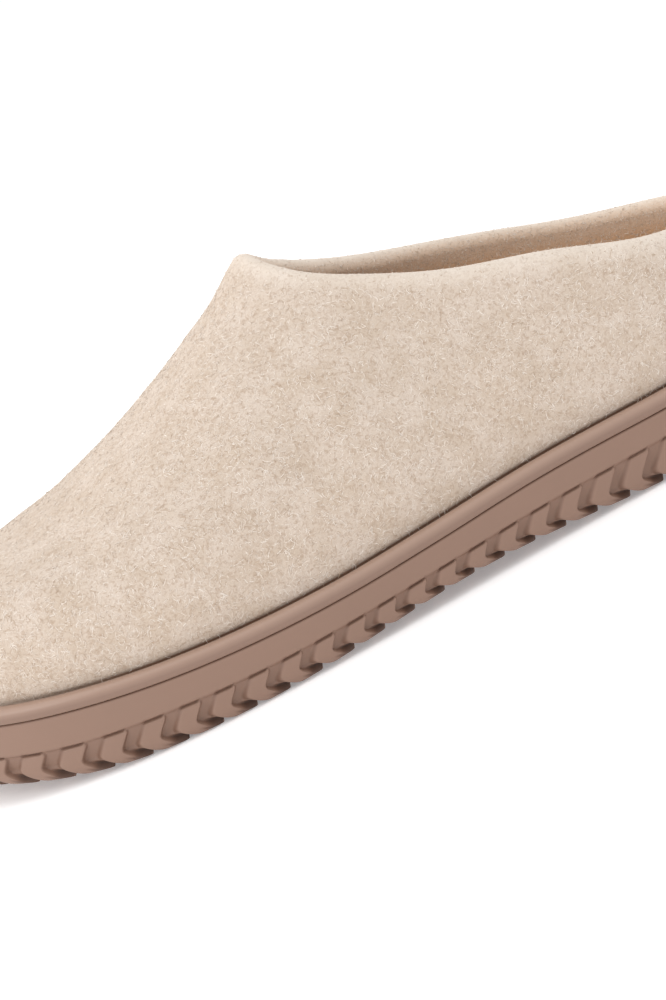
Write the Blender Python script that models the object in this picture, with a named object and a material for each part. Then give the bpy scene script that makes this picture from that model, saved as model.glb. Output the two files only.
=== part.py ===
"""Felt slip-on slipper for the left foot, standing flat and empty on its sole.

Sizes are millimetres in the tables and are turned to metres when vertices are made.
+X runs from toe to heel, -Y is the outer (lateral) side, +Z is up, z = 0 is the floor.
"""

import bmesh
import bpy
import numpy as np

MM = 0.001

# Driving sizes in millimetres
SOLE_LENGTH = 264.0
BALL_WIDTH = 99.5
INSTEP_HEIGHT = 97.3
HEEL_HEIGHT = 55.6
FELT = 4.2
GAP = 0.3
WELT_WIDTH = 4.5
WELT_HEIGHT = 4.1
CUP_DEPTH = 12.5
INSOLE_THICKNESS = 6.5
INSOLE_EDGE = 1.2
TOE_SPRING = 9.8
TOE_SPRING_START = 60.0
ARCH_FRONT = 80.0
ARCH_BACK = 216.0
ARCH_HEIGHT = 3.4
HEEL_LIFT = 1.5
HEEL_LIFT_START = 248.0
LUGS_PER_SIDE = 31
LUG_RELIEF = 1.8
LUG_TURN = 3.8
LUG_TURN_DIP = 1.0
LUG_SWEEP = 7.3
LUG_PHASE = -2.8
LUG_LINE = 0.5
LUG_LINE_DEPTH = 0.9
FACE_PROUD = 0.3
RIM_CHAMFER = 0.5
EDGE_BEVEL = 3.4
TREAD_DEPTH = 2.2
TREAD_ZIGZAG = 3.0
ZIGZAG_FULL_WIDTH = 60.0
COLLAR_SWELL = 2.0
COLLAR_BAND = 5.0
RIM_SWELL = 2.0

# Shares of a lug's pitch: its face, and its walls to the toe and to the heel
LUG_FACE_SHARE = 0.58
TOE_WALL_SHARE = 0.15
HEEL_WALL_SHARE = 0.06

# Shares of the lug relief by which a channel is cut in: at the line over the lugs, just under that line,
# and at its foot inward and upward
CHANNEL_AT_LINE = 0.2
CHANNEL_UNDER_LINE = 0.4
CHANNEL_FOOT_IN = 0.4
CHANNEL_FOOT_UP = 0.7

# Lean of the lugs in millimetres along per millimetre up, and the share of it that the toe has.
# Shares of one side of the sole: where the lean has fully grown, and where the sweep tapers off
LUG_LEAN = 0.92
LEAN_AT_TOE = 0.75
LEAN_GROWTH = 0.40
END_TAPER = 0.10

# How fine the facets are, and where up the felt its rows lie, from feather line to collar
UPPER_COLUMNS = 84
OUTER_SHARES = (0.0, 0.06, 0.14, 0.22, 0.31, 0.41, 0.52, 0.64, 0.76, 0.86, 0.93, 0.97, 1.0)
INNER_SHARES = (1.0, 0.95, 0.86, 0.70, 0.52, 0.34, 0.16, 0.0)
TREAD_ROWS = 6
RIM_ANGLES = (45, 90, 135)
RIM_STEP = 0.02
FINE_COUNT = 4000

# One row per place around the last: the sole outline, the swell of the felt above the feather line,
# the collar edge above that place, and how the felt falls away from the collar.
# along, collar_along and reach are percent of the sole length; across and collar_across are percent of
# the ball width; rise is percent of the instep height; collar_lift is percent of the way from heel height
# to instep height; bulge is millimetres and dip is degrees
LAST_COLUMNS = ("along", "across", "rise", "bulge", "collar_along", "collar_across", "collar_lift", "dip", "reach")
LAST = {
    "toe tip": (0.00, 7.04, 45.0, 4.0, 50.15, 0.50, 95.6, 33, 48.0),
    "toe lateral": (2.46, -13.07, 44.5, 4.0, 50.63, -7.54, 91.3, 34, 45.6),
    "small toes": (7.58, -30.65, 37.8, 4.0, 51.85, -13.87, 84.4, 38, 36.4),
    "forefoot lateral": (15.91, -44.22, 32.0, 3.5, 53.95, -19.40, 75.6, 43, 27.2),
    "ball lateral": (32.95, -51.26, 24.6, 3.0, 59.28, -25.43, 59.3, 53, 15.9),
    "waist lateral": (53.79, -46.23, 22.6, 2.5, 67.80, -29.75, 38.2, 66, 10.6),
    "heel front lateral": (74.62, -39.70, 18.5, 2.2, 78.79, -31.46, 18.4, 77, 6.4),
    "heel lateral": (87.12, -35.68, 13.3, 2.2, 87.88, -29.15, 0.0, 83, 4.5),
    "heel corner lateral": (96.21, -22.61, 11.3, 2.5, 94.70, -18.59, -3.6, 86, 4.2),
    "heel back": (100.00, 0.00, 11.3, 2.8, 97.54, 0.00, -2.4, 88, 4.2),
    "heel corner medial": (96.21, 22.11, 11.3, 2.5, 94.70, 18.29, -0.4, 86, 4.2),
    "heel medial": (87.12, 33.67, 13.3, 2.2, 87.88, 28.74, 6.6, 83, 4.5),
    "heel front medial": (72.73, 35.38, 18.5, 2.2, 78.03, 30.95, 24.6, 77, 6.4),
    "waist medial": (53.79, 37.69, 22.6, 2.2, 67.42, 28.94, 44.5, 66, 10.6),
    "ball medial": (32.20, 48.24, 25.7, 3.0, 59.09, 25.13, 63.5, 53, 16.7),
    "forefoot medial": (15.91, 46.73, 33.4, 3.5, 53.95, 19.40, 80.1, 43, 27.8),
    "toe medial": (6.06, 35.68, 39.8, 4.0, 51.85, 14.07, 88.6, 37, 37.2),
    "toe medial tip": (1.59, 22.61, 45.0, 4.0, 50.63, 8.24, 92.7, 34, 46.0),
}

# One row per section along the sole: percent of its length, and the height in millimetres of the
# feather line, where felt meets welt
FEATHER_COLUMNS = ("along", "up")
FEATHER = (
    (0.0, 29.5),
    (8.3, 25.4),
    (17.4, 22.4),
    (30.7, 19.8),
    (41.7, 19.2),
    (53.0, 20.2),
    (64.4, 21.7),
    (81.1, 22.0),
    (100.0, 22.7),
)

# One row per section along the sole: percent of its length, and the height in millimetres of the line
# that runs over the lugs
LUG_TOPS = (
    (0.0, 18.0),
    (6.4, 13.7),
    (10.6, 11.9),
    (18.2, 10.1),
    (35.0, 8.6),
    (41.7, 8.9),
    (54.0, 10.2),
    (63.0, 11.2),
    (75.0, 11.5),
    (100.0, 12.2),
)

# One row per place along one side from toe to heel: percent of its length, and how many millimetres the
# lugs there lie closer to the heel than if they were evenly spaced
LUG_SHIFTS = (
    (0.0, 0.0),
    (12.6, -1.7),
    (23.3, 1.0),
    (38.7, 0.3),
    (44.4, 0.0),
    (53.4, -1.3),
    (59.9, -2.4),
    (68.6, -3.8),
    (100.0, 0.0),
)

# Section of the bead in millimetres, from its inner foot around the front to its inner top: out from the
# sole outline, and up from its seat on the outsole
WELT_SECTION = (
    (-WELT_WIDTH, GAP),
    (-0.4, GAP),
    (0.1, 1.0),
    (0.2, 2.1),
    (-0.3, 3.2),
    (-1.3, 4.0),
    (-2.5, 4.2),
    (-WELT_WIDTH, 3.3),
)


def loop_spline(knots, values, at):
    """Smooth closed curve through rows: cubic spline whose slope and bend match where it closes."""
    values = np.asarray(values, float)
    count = len(values)
    step = np.diff(np.append(knots, 1.0))
    before = np.roll(step, 1)
    rise = np.roll(values, -1, 0) - values
    slope = rise / step[:, None]
    system = np.zeros((count, count))
    rows = np.arange(count)
    system[rows, rows] = 2.0 * (before + step)
    system[rows, (rows - 1) % count] += before
    system[rows, (rows + 1) % count] += step
    bend = np.linalg.solve(system, 6.0 * (slope - np.roll(slope, 1, 0)))
    at = np.mod(at, 1.0)
    k = np.clip(np.searchsorted(knots, at, side="right") - 1, 0, count - 1)
    h = step[k][:, None]
    b = (at - knots[k])[:, None]
    a = h - b
    nxt = (k + 1) % count
    cubic = bend[k] * a**3 / (6 * h) + bend[nxt] * b**3 / (6 * h)
    straight = (values[k] / h - bend[k] * h / 6) * a + (values[nxt] / h - bend[nxt] * h / 6) * b
    return cubic + straight


LAST_UNITS = {
    "along": ("from_toe", 0.0, SOLE_LENGTH / 100),
    "across": ("side", 0.0, BALL_WIDTH / 100),
    "rise": ("rise", 0.0, INSTEP_HEIGHT / 100),
    "bulge": ("bulge", 0.0, 1.0),
    "collar_along": ("collar_from_toe", 0.0, SOLE_LENGTH / 100),
    "collar_across": ("collar_side", 0.0, BALL_WIDTH / 100),
    "collar_lift": ("collar_up", HEEL_HEIGHT, (INSTEP_HEIGHT - HEEL_HEIGHT) / 100),
    "dip": ("dip", 0.0, 1.0),
    "reach": ("reach", 0.0, SOLE_LENGTH / 100),
}
LAST_NAMES = [LAST_UNITS[column][0] for column in LAST_COLUMNS]
LAST_BASE = np.array([LAST_UNITS[column][1] for column in LAST_COLUMNS])
LAST_FACTOR = np.array([LAST_UNITS[column][2] for column in LAST_COLUMNS])
LAST_ROWS = LAST_BASE + LAST_FACTOR * np.array(list(LAST.values()), float)
CHORDS = np.linalg.norm(np.roll(LAST_ROWS[:, :2], -1, 0) - LAST_ROWS[:, :2], axis=1)
KNOTS = np.concatenate([[0.0], np.cumsum(CHORDS)[:-1]]) / CHORDS.sum()


def last_at(at):
    """Columns of the table of the last, in millimetres and degrees, at places 0..1 around the outline."""
    rows = loop_spline(KNOTS, LAST_ROWS, np.asarray(at, float))
    return dict(zip(LAST_NAMES, rows.T))


def outward(x, y):
    """Unit normal, pointing out, of a closed curve that runs toe, lateral, heel, medial."""
    dx = np.gradient(np.concatenate([x[-2:], x, x[:2]]))[2:-2]
    dy = np.gradient(np.concatenate([y[-2:], y, y[:2]]))[2:-2]
    size = np.hypot(dx, dy)
    return dy / size, -dx / size


FINE = np.arange(FINE_COUNT) / FINE_COUNT
FINE_LAST = last_at(FINE)
FINE_NORMAL = outward(FINE_LAST["from_toe"], FINE_LAST["side"])
FINE_COLLAR_NORMAL = outward(FINE_LAST["collar_from_toe"], FINE_LAST["collar_side"])
FINE_STEP = np.hypot(
    np.roll(FINE_LAST["from_toe"], -1) - FINE_LAST["from_toe"],
    np.roll(FINE_LAST["side"], -1) - FINE_LAST["side"],
)
FINE_ARC = np.concatenate([[0.0], np.cumsum(FINE_STEP)])
GIRTH = FINE_ARC[-1]
HEEL_ARC = FINE_ARC[np.argmax(FINE_LAST["from_toe"])]
TOE_ARC = FINE_ARC[np.argmin(np.where(FINE < 0.5, FINE_LAST["from_toe"], 1e9))]
SOLE_MIDDLE = 0.5 * (FINE_LAST["side"].min() + FINE_LAST["side"].max())


def place_at(arc):
    """Place 0..1 around the outline at a length along it, measured from the first row of the table."""
    return np.interp(np.mod(arc, GIRTH), FINE_ARC, np.append(FINE, 1.0))


def around(values, at):
    """Value at places 0..1 of something known at the fine places."""
    return np.interp(np.mod(at, 1.0), np.append(FINE, 1.0), np.append(values, values[0]))


def outline(at, offset):
    """Distance from the toe and side of the sole outline moved out by an offset."""
    at = np.asarray(at, float)
    last = last_at(at)
    return (
        last["from_toe"] + offset * around(FINE_NORMAL[0], at),
        last["side"] + offset * around(FINE_NORMAL[1], at),
    )


def through(rows, percent):
    """Smooth line through rows of percent and value: cubics with the slopes of neighbouring rows."""
    x, z = np.array(rows, float).T
    slope = np.gradient(z, x)
    k = np.clip(np.searchsorted(x, percent, side="right") - 1, 0, len(x) - 2)
    h = x[k + 1] - x[k]
    t = np.clip((percent - x[k]) / h, 0.0, 1.0)
    return (
        z[k] * (1 + 2 * t) * (1 - t) ** 2
        + h * slope[k] * t * (1 - t) ** 2
        + z[k + 1] * t**2 * (3 - 2 * t)
        + h * slope[k + 1] * t**2 * (t - 1)
    )


def feather_up(from_toe):
    """Height of the feather line."""
    return through(FEATHER, 100 * from_toe / SOLE_LENGTH)


def arch_share(from_toe):
    """1 in the middle of the arch, 0 at its front and back and beyond them."""
    middle = 0.5 * (ARCH_FRONT + ARCH_BACK)
    half = 0.5 * (ARCH_BACK - ARCH_FRONT)
    return np.cos(0.5 * np.pi * np.clip((from_toe - middle) / half, -1, 1)) ** 2


def ground_up(from_toe):
    """Height of the lug bottoms: toe spring, flat forefoot, arch, flat heel and a little lift behind."""
    toe = TOE_SPRING * np.clip((TOE_SPRING_START - from_toe) / TOE_SPRING_START, 0, None) ** 2
    heel = HEEL_LIFT * np.clip((from_toe - HEEL_LIFT_START) / (SOLE_LENGTH - HEEL_LIFT_START), 0, None) ** 2
    return toe + ARCH_HEIGHT * arch_share(from_toe) + heel


def turn_up(from_toe):
    """Height of the turn of the lugs, which rises a little less than the arch does."""
    return ground_up(from_toe) + LUG_TURN - LUG_TURN_DIP * arch_share(from_toe)


def floor_up(from_toe):
    """Height of the floor of the sole's cup."""
    return feather_up(from_toe) - CUP_DEPTH


def felt_outside(at, share):
    """Outer felt surface: a cubic curve from the feather line (share 0) to the collar edge (share 1).

    It leaves the feather line upward and a little outward, and reaches the collar along a line that
    dips away from the collar by the angle and over the reach in the table. Just under the collar the
    felt swells a little, as a thick cut edge does.
    """
    at = np.asarray(at, float)
    last = last_at(at)
    nx, ny = around(FINE_NORMAL[0], at), around(FINE_NORMAL[1], at)
    cx, cy = around(FINE_COLLAR_NORMAL[0], at), around(FINE_COLLAR_NORMAL[1], at)
    x0, y0 = outline(at, -WELT_WIDTH - GAP)
    z0 = feather_up(last["from_toe"])
    dip = np.radians(last["dip"])
    flat = last["reach"] * np.cos(dip)
    start = np.stack([x0, y0, z0], -1)
    leave = start + np.stack([nx * last["bulge"], ny * last["bulge"], last["rise"]], -1)
    end = np.stack([last["collar_from_toe"], last["collar_side"], last["collar_up"]], -1)
    reach = end + np.stack([cx * flat, cy * flat, -last["reach"] * np.sin(dip)], -1)
    s = np.asarray(share, float)[..., None]
    curve = (1 - s) ** 3 * start + 3 * (1 - s) ** 2 * s * leave + 3 * (1 - s) * s**2 * reach + s**3 * end
    below = np.linalg.norm(end - curve, axis=-1)
    swell = COLLAR_SWELL * np.exp(-((below / COLLAR_BAND) ** 2))
    away = np.stack([cx * np.sin(dip), cy * np.sin(dip), np.cos(dip)], -1)
    return curve + swell[..., None] * away


def felt_thickness(at, share):
    """Felt thickness: even, and growing near the collar edge into a rolled rim."""
    below = np.linalg.norm(felt_outside(at, np.ones_like(share)) - felt_outside(at, share), axis=-1)
    return FELT + RIM_SWELL * np.exp(-((below / COLLAR_BAND) ** 2))


def felt_normal(at, share):
    """Outward normal of the outer felt surface, from small steps around it and up it."""
    step = 1e-3
    around_it = felt_outside(at + step, share) - felt_outside(at - step, share)
    low, high = np.clip(share - step, 0, 1), np.clip(share + step, 0, 1)
    up_it = felt_outside(at, high) - felt_outside(at, low)
    normal = np.cross(around_it, up_it)
    return normal / np.linalg.norm(normal, axis=-1, keepdims=True)


def upper_rings():
    """Rings of the felt shell: up the outside, over the rounded collar edge, down the inside."""
    at = place_at(TOE_ARC + GIRTH * np.arange(UPPER_COLUMNS) / UPPER_COLUMNS)
    low = floor_up(last_at(at)["from_toe"]) + GAP
    full = np.ones(UPPER_COLUMNS)
    x, y = outline(at, -WELT_WIDTH - GAP)
    rings = [np.stack([x, y, low], -1)]
    for share in OUTER_SHARES:
        rings.append(felt_outside(at, share * full))
    edge = rings[-1]
    normal = felt_normal(at, full)
    along = edge - felt_outside(at, (1 - RIM_STEP) * full)
    along /= np.linalg.norm(along, axis=-1, keepdims=True)
    radius = 0.5 * (FELT + RIM_SWELL)
    for angle in np.radians(RIM_ANGLES):
        rings.append(edge + radius * ((np.cos(angle) - 1) * normal + np.sin(angle) * along))
    for share in INNER_SHARES:
        inward = felt_thickness(at, share * full)[:, None] * felt_normal(at, share * full)
        rings.append(felt_outside(at, share * full) - inward)
    x, y = outline(at, -WELT_WIDTH - GAP - FELT)
    rings[-1] = np.stack([x, y, rings[-1][:, 2]], -1)
    rings.append(np.stack([x, y, low], -1))
    return rings


def welt_rings():
    """Rings of the bead: a round-fronted strip that stands on the outsole against the felt."""
    at = place_at(TOE_ARC + GIRTH * np.arange(UPPER_COLUMNS) / UPPER_COLUMNS)
    seat = feather_up(last_at(at)["from_toe"]) - WELT_HEIGHT
    rings = []
    for offset, above in WELT_SECTION:
        x, y = outline(at, offset)
        rings.append(np.stack([x, y, seat + above], -1))
    return rings


def lug_columns():
    """Lengths along one side of the outline from toe to heel, and whether each is on a lug."""
    face_end = 0.5 * LUG_FACE_SHARE
    marks = (face_end, face_end + HEEL_WALL_SHARE, 1.0 - face_end - TOE_WALL_SHARE, 1.0 - face_end)
    steps = [0.0]
    raised = [True]
    for lug in range(LUGS_PER_SIDE):
        steps += [lug + mark for mark in marks]
        raised += [True, False, False, True]
    steps.append(float(LUGS_PER_SIDE))
    raised.append(True)
    return np.array(steps) / LUGS_PER_SIDE, np.array(raised)


def smooth_step(value):
    """Rises from 0 to 1 between value 0 and 1, flat at both ends."""
    value = np.clip(value, 0, 1)
    return value**2 * (3 - 2 * value)


def outsole_grid():
    """Rings of the outsole side, and rows of points across its underside."""
    share, raised = lug_columns()
    last_column = len(share) - 1
    raised = np.concatenate([raised, raised[last_column - 1 : 0 : -1]])
    taper = np.clip(share / END_TAPER, 0, 1) * np.clip((1 - share) / END_TAPER, 0, 1)
    shift = through(LUG_SHIFTS, 100 * share)
    lean = LUG_LEAN * (LEAN_AT_TOE + (1 - LEAN_AT_TOE) * smooth_step(share / LEAN_GROWTH))

    def ring_places(sweep):
        """Places of the columns when each is moved toward the heel by a sweep in millimetres."""
        move = sweep * taper + shift
        lateral = TOE_ARC + (HEEL_ARC - TOE_ARC) * share + move
        medial = TOE_ARC + GIRTH - (GIRTH - HEEL_ARC + TOE_ARC) * share - move
        return place_at(np.concatenate([lateral, medial[last_column - 1 : 0 : -1]]))

    turn = ring_places(LUG_PHASE)
    foot = ring_places(LUG_PHASE + LUG_SWEEP)
    turn_from_toe = last_at(turn)["from_toe"]
    face = through(LUG_TOPS, 100 * turn_from_toe / SOLE_LENGTH) - turn_up(turn_from_toe)
    face = np.concatenate([face[: last_column + 1], face[last_column - 1 : 0 : -1]])
    top = ring_places(LUG_PHASE + lean * face[: last_column + 1])
    from_toe = last_at(top)["from_toe"]
    seat = feather_up(from_toe) - WELT_HEIGHT
    band = turn_up(from_toe) + face
    recess = np.where(raised, 0.0, LUG_RELIEF)
    sides = (
        (top, -WELT_WIDTH, floor_up(from_toe)),
        (top, -WELT_WIDTH, seat),
        (top, -RIM_CHAMFER, seat),
        (top, 0.0, seat - RIM_CHAMFER),
        (top, 0.0, band),
        (top, np.where(raised, -LUG_LINE_DEPTH, -CHANNEL_AT_LINE * LUG_RELIEF), band - LUG_LINE),
        (top, np.where(raised, 0.0, -CHANNEL_UNDER_LINE * LUG_RELIEF), band - 2 * LUG_LINE),
    )
    rings = []
    for at, offset, up in sides:
        x, y = outline(at, offset)
        rings.append(np.stack([x, y, up + 0 * x], -1))
    x, y = outline(turn, FACE_PROUD - recess)
    rings.append(np.stack([x, y, turn_up(turn_from_toe)], -1))
    x, y = outline(foot, -EDGE_BEVEL - CHANNEL_FOOT_IN * recess)
    rings.append(np.stack([x, y, ground_up(x) + CHANNEL_FOOT_UP * recess], -1))

    foot_ring = rings[-1]
    lateral = foot_ring[: last_column + 1]
    medial = np.concatenate([foot_ring[:1], foot_ring[: last_column - 1 : -1]])
    across = []
    for row in range(1, TREAD_ROWS):
        q = row / TREAD_ROWS
        points = (1 - q) * lateral + q * medial
        width = np.linalg.norm(medial - lateral, axis=1)
        zig = TREAD_ZIGZAG * (1 if row % 2 else 0) * np.clip(width / ZIGZAG_FULL_WIDTH, 0, 1)
        points[:, 0] += zig
        points[:, 2] = ground_up(points[:, 0]) + np.where(raised[: last_column + 1], 0.0, TREAD_DEPTH)
        across.append(points)
    return rings, across


def to_metres(point):
    """Vertex in metres with the middle of the sole's length and width at x = 0 and y = 0."""
    return ((point[0] - 0.5 * SOLE_LENGTH) * MM, (point[1] - SOLE_MIDDLE) * MM, point[2] * MM)


def add_ring(bm, points):
    """Vertices of one ring."""
    return [bm.verts.new(to_metres(p)) for p in points]


def join_rings(bm, first, second):
    """Faces between two rings of equal length."""
    count = len(first)
    for k in range(count):
        n = (k + 1) % count
        bm.faces.new((first[k], first[n], second[n], second[k]))


def close_across(bm, ring):
    """Faces across the inside of a ring, from each vertex of one side to its match on the other."""
    half = len(ring) // 2
    bm.faces.new((ring[0], ring[1], ring[-1]))
    for k in range(1, half - 1):
        bm.faces.new((ring[k], ring[k + 1], ring[-k - 1], ring[-k]))
    bm.faces.new((ring[half - 1], ring[half], ring[half + 1]))


def finish_node(bm, name, material):
    """Closed solid from the faces made, all facing out, as one named object."""
    bmesh.ops.triangulate(bm, faces=bm.faces[:])
    bmesh.ops.recalc_face_normals(bm, faces=bm.faces[:])
    mesh = bpy.data.meshes.new(name)
    bm.to_mesh(mesh)
    bm.free()
    mesh.materials.append(material)
    node = bpy.data.objects.new(name, mesh)
    bpy.context.scene.collection.objects.link(node)
    return node


def make_material(name, colour, roughness):
    """Plain coloured material."""
    material = bpy.data.materials.new(name)
    material.use_nodes = True
    shader = material.node_tree.nodes["Principled BSDF"]
    shader.inputs["Base Color"].default_value = (*colour, 1.0)
    shader.inputs["Roughness"].default_value = roughness
    return material


def make_ring_solid(name, rings, material):
    """Solid whose section is a closed loop carried around the shoe."""
    bm = bmesh.new()
    loops = [add_ring(bm, ring) for ring in rings]
    for first, second in zip(loops, loops[1:] + loops[:1]):
        join_rings(bm, first, second)
    return finish_node(bm, name, material)


def make_outsole(material):
    """Rubber cup: floor, wall, band, lugs and the bars across the underside."""
    rings, across = outsole_grid()
    bm = bmesh.new()
    loops = [add_ring(bm, ring) for ring in rings]
    for first, second in zip(loops, loops[1:]):
        join_rings(bm, first, second)
    close_across(bm, loops[0])
    foot = loops[-1]
    half = len(foot) // 2
    rows = [[foot[k] for k in range(half + 1)]]
    for points in across:
        inner = [bm.verts.new(to_metres(p)) for p in points[1:half]]
        rows.append([foot[0]] + inner + [foot[half]])
    rows.append([foot[0]] + [foot[-k] for k in range(1, half)] + [foot[half]])
    for first, second in zip(rows, rows[1:]):
        bm.faces.new((first[0], first[1], second[1]))
        for k in range(1, half - 1):
            bm.faces.new((first[k], first[k + 1], second[k + 1], second[k]))
        bm.faces.new((first[half - 1], first[half], second[half - 1]))
    return finish_node(bm, "outsole", material)


def make_insole(material):
    """Felt footbed lying on the floor of the cup."""
    at = place_at(TOE_ARC + GIRTH * np.arange(UPPER_COLUMNS) / UPPER_COLUMNS)
    inside = -WELT_WIDTH - GAP - FELT - GAP
    floor = floor_up(last_at(at)["from_toe"]) + GAP
    rings = []
    for offset, above in ((0.0, 0.0), (0.0, INSOLE_THICKNESS - INSOLE_EDGE), (-INSOLE_EDGE, INSOLE_THICKNESS)):
        x, y = outline(at, inside + offset)
        rings.append(np.stack([x, y, floor + above], -1))
    bm = bmesh.new()
    loops = [add_ring(bm, ring) for ring in rings]
    for first, second in zip(loops, loops[1:]):
        join_rings(bm, first, second)
    close_across(bm, loops[0])
    close_across(bm, loops[-1])
    return finish_node(bm, "insole", material)


for item in list(bpy.data.objects):
    bpy.data.objects.remove(item, do_unlink=True)

wool = make_material("oatmeal felt", (0.76, 0.65, 0.53), 0.95)
footbed = make_material("footbed felt", (0.55, 0.42, 0.31), 0.95)
rubber = make_material("taupe rubber", (0.34, 0.22, 0.16), 0.55)
bead = make_material("taupe bead", (0.42, 0.30, 0.23), 0.45)

make_ring_solid("upper", upper_rings(), wool)
make_ring_solid("welt", welt_rings(), bead)
make_outsole(rubber)
make_insole(footbed)
for node in bpy.data.objects:
    print(node.name, "triangles", len(node.data.polygons))
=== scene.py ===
# %% [markdown]
# # A wool felt slipper
# The real slipper is two makings brought together: a shell of thick wool felt, pressed in one piece over
# a last, and a moulded rubber sole with a raised bead round its rim. The solids that come with the part
# already have those forms. This lesson gives them their finish: a surface of curled wool, satin rubber
# and crisp lugs. Everything is measured in millimetres and turned to metres when a mesh is made.

# %% Load the frame
import math

import bmesh
import bpy
import numpy as np
from mathutils import Matrix, Vector


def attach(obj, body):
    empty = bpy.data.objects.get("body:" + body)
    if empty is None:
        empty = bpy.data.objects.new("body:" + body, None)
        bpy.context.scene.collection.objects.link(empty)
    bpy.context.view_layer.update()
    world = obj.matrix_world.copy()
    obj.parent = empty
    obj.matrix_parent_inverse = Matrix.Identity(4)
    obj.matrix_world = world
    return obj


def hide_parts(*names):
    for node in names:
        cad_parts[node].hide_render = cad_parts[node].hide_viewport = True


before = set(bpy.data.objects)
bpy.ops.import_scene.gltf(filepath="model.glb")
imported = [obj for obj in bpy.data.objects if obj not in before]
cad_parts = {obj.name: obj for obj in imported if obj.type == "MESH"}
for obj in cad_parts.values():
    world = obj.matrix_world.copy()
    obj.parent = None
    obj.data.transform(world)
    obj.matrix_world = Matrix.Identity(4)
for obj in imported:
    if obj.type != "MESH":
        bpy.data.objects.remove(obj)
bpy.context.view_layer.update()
print("solids in the frame:", ", ".join(sorted(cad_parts)))

# %% [markdown]
# ## The last
# A shoe gets its shape from a last, the block that the felt is pressed on. It could be sculpted, but a
# maker describes it by a few sizes taken at named places, so here it is a table with one row per place
# around the foot. A closed cubic spline runs through the rows. Because the same table shapes the solids,
# the finished skin lies where they are.

# %% Driving sizes of the slipper
MM = 0.001
SOLE_LENGTH = 264.0
BALL_WIDTH = 99.5
INSTEP_HEIGHT = 97.3
HEEL_HEIGHT = 55.6
FELT = 4.2
GAP = 0.3
WELT_WIDTH = 4.5
WELT_HEIGHT = 4.1
CUP_DEPTH = 12.5
INSOLE_THICKNESS = 6.5
COLLAR_SWELL = 1.6
COLLAR_BAND = 9.0
RIM_SWELL = 2.0
THROAT_SWELL = 1.3
THROAT_REACH = 14.0
ROLL_BAND = 22.0

# Percent of the sole length: along, collar_along, reach. Percent of the ball width: across, collar_across.
# Percent of the instep height: rise. Percent of the way from heel to instep height: collar_lift.
# Millimetres: bulge. Degrees: dip.
LAST_COLUMNS = {
    "along": ("from_toe", 0.0, SOLE_LENGTH / 100),
    "across": ("side", 0.0, BALL_WIDTH / 100),
    "rise": ("rise", 0.0, INSTEP_HEIGHT / 100),
    "bulge": ("bulge", 0.0, 1.0),
    "collar_along": ("collar_from_toe", 0.0, SOLE_LENGTH / 100),
    "collar_across": ("collar_side", 0.0, BALL_WIDTH / 100),
    "collar_lift": ("collar_up", HEEL_HEIGHT, (INSTEP_HEIGHT - HEEL_HEIGHT) / 100),
    "dip": ("dip", 0.0, 1.0),
    "reach": ("reach", 0.0, SOLE_LENGTH / 100),
}
LAST = {
    "toe tip": (0.00, 7.04, 45.0, 4.0, 50.15, 0.50, 95.6, 33, 48.0),
    "toe lateral": (2.46, -13.07, 44.5, 4.0, 50.63, -7.54, 91.3, 34, 45.6),
    "small toes": (7.58, -30.65, 37.8, 4.0, 51.85, -13.87, 84.4, 38, 36.4),
    "forefoot lateral": (15.91, -44.22, 32.0, 3.5, 53.95, -19.40, 75.6, 43, 27.2),
    "ball lateral": (32.95, -51.26, 24.6, 3.0, 59.28, -25.43, 59.3, 53, 15.9),
    "waist lateral": (53.79, -46.23, 22.6, 2.5, 67.80, -29.75, 38.2, 66, 10.6),
    "heel front lateral": (74.62, -39.70, 18.5, 2.2, 78.79, -31.46, 18.4, 77, 6.4),
    "heel lateral": (87.12, -35.68, 13.3, 2.2, 87.88, -29.15, 0.0, 83, 4.5),
    "heel corner lateral": (96.21, -22.61, 11.3, 2.5, 94.70, -18.59, -3.6, 86, 4.2),
    "heel back": (100.00, 0.00, 11.3, 2.8, 97.54, 0.00, -2.4, 88, 4.2),
    "heel corner medial": (96.21, 22.11, 11.3, 2.5, 94.70, 18.29, -0.4, 86, 4.2),
    "heel medial": (87.12, 33.67, 13.3, 2.2, 87.88, 28.74, 6.6, 83, 4.5),
    "heel front medial": (72.73, 35.38, 18.5, 2.2, 78.03, 30.95, 24.6, 77, 6.4),
    "waist medial": (53.79, 37.69, 22.6, 2.2, 67.42, 28.94, 44.5, 66, 10.6),
    "ball medial": (32.20, 48.24, 25.7, 3.0, 59.09, 25.13, 63.5, 53, 16.7),
    "forefoot medial": (15.91, 46.73, 33.4, 3.5, 53.95, 19.40, 80.1, 43, 27.8),
    "toe medial": (6.06, 35.68, 39.8, 4.0, 51.85, 14.07, 88.6, 37, 37.2),
    "toe medial tip": (1.59, 22.61, 45.0, 4.0, 50.63, 8.24, 92.7, 34, 46.0),
}

# %% Spline through the table


def loop_spline(knots, values, at):
    """Closed cubic spline: each stretch is a cubic, and slope and bend agree where stretches meet.

    The bends at the knots solve one set of equations that wraps round from the last row to the first.
    """
    count = len(values)
    step = np.diff(np.append(knots, 1.0))
    before = np.roll(step, 1)
    slope = (np.roll(values, -1, 0) - values) / step[:, None]
    system = np.zeros((count, count))
    rows = np.arange(count)
    system[rows, rows] = 2.0 * (before + step)
    system[rows, (rows - 1) % count] += before
    system[rows, (rows + 1) % count] += step
    bend = np.linalg.solve(system, 6.0 * (slope - np.roll(slope, 1, 0)))
    at = np.mod(at, 1.0)
    k = np.clip(np.searchsorted(knots, at, side="right") - 1, 0, count - 1)
    n = (k + 1) % count
    h = step[k][:, None]
    b = (at - knots[k])[:, None]
    a = h - b
    cubic = (bend[k] * a**3 + bend[n] * b**3) / (6 * h)
    return cubic + (values[k] / h - bend[k] * h / 6) * a + (values[n] / h - bend[n] * h / 6) * b


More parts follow.
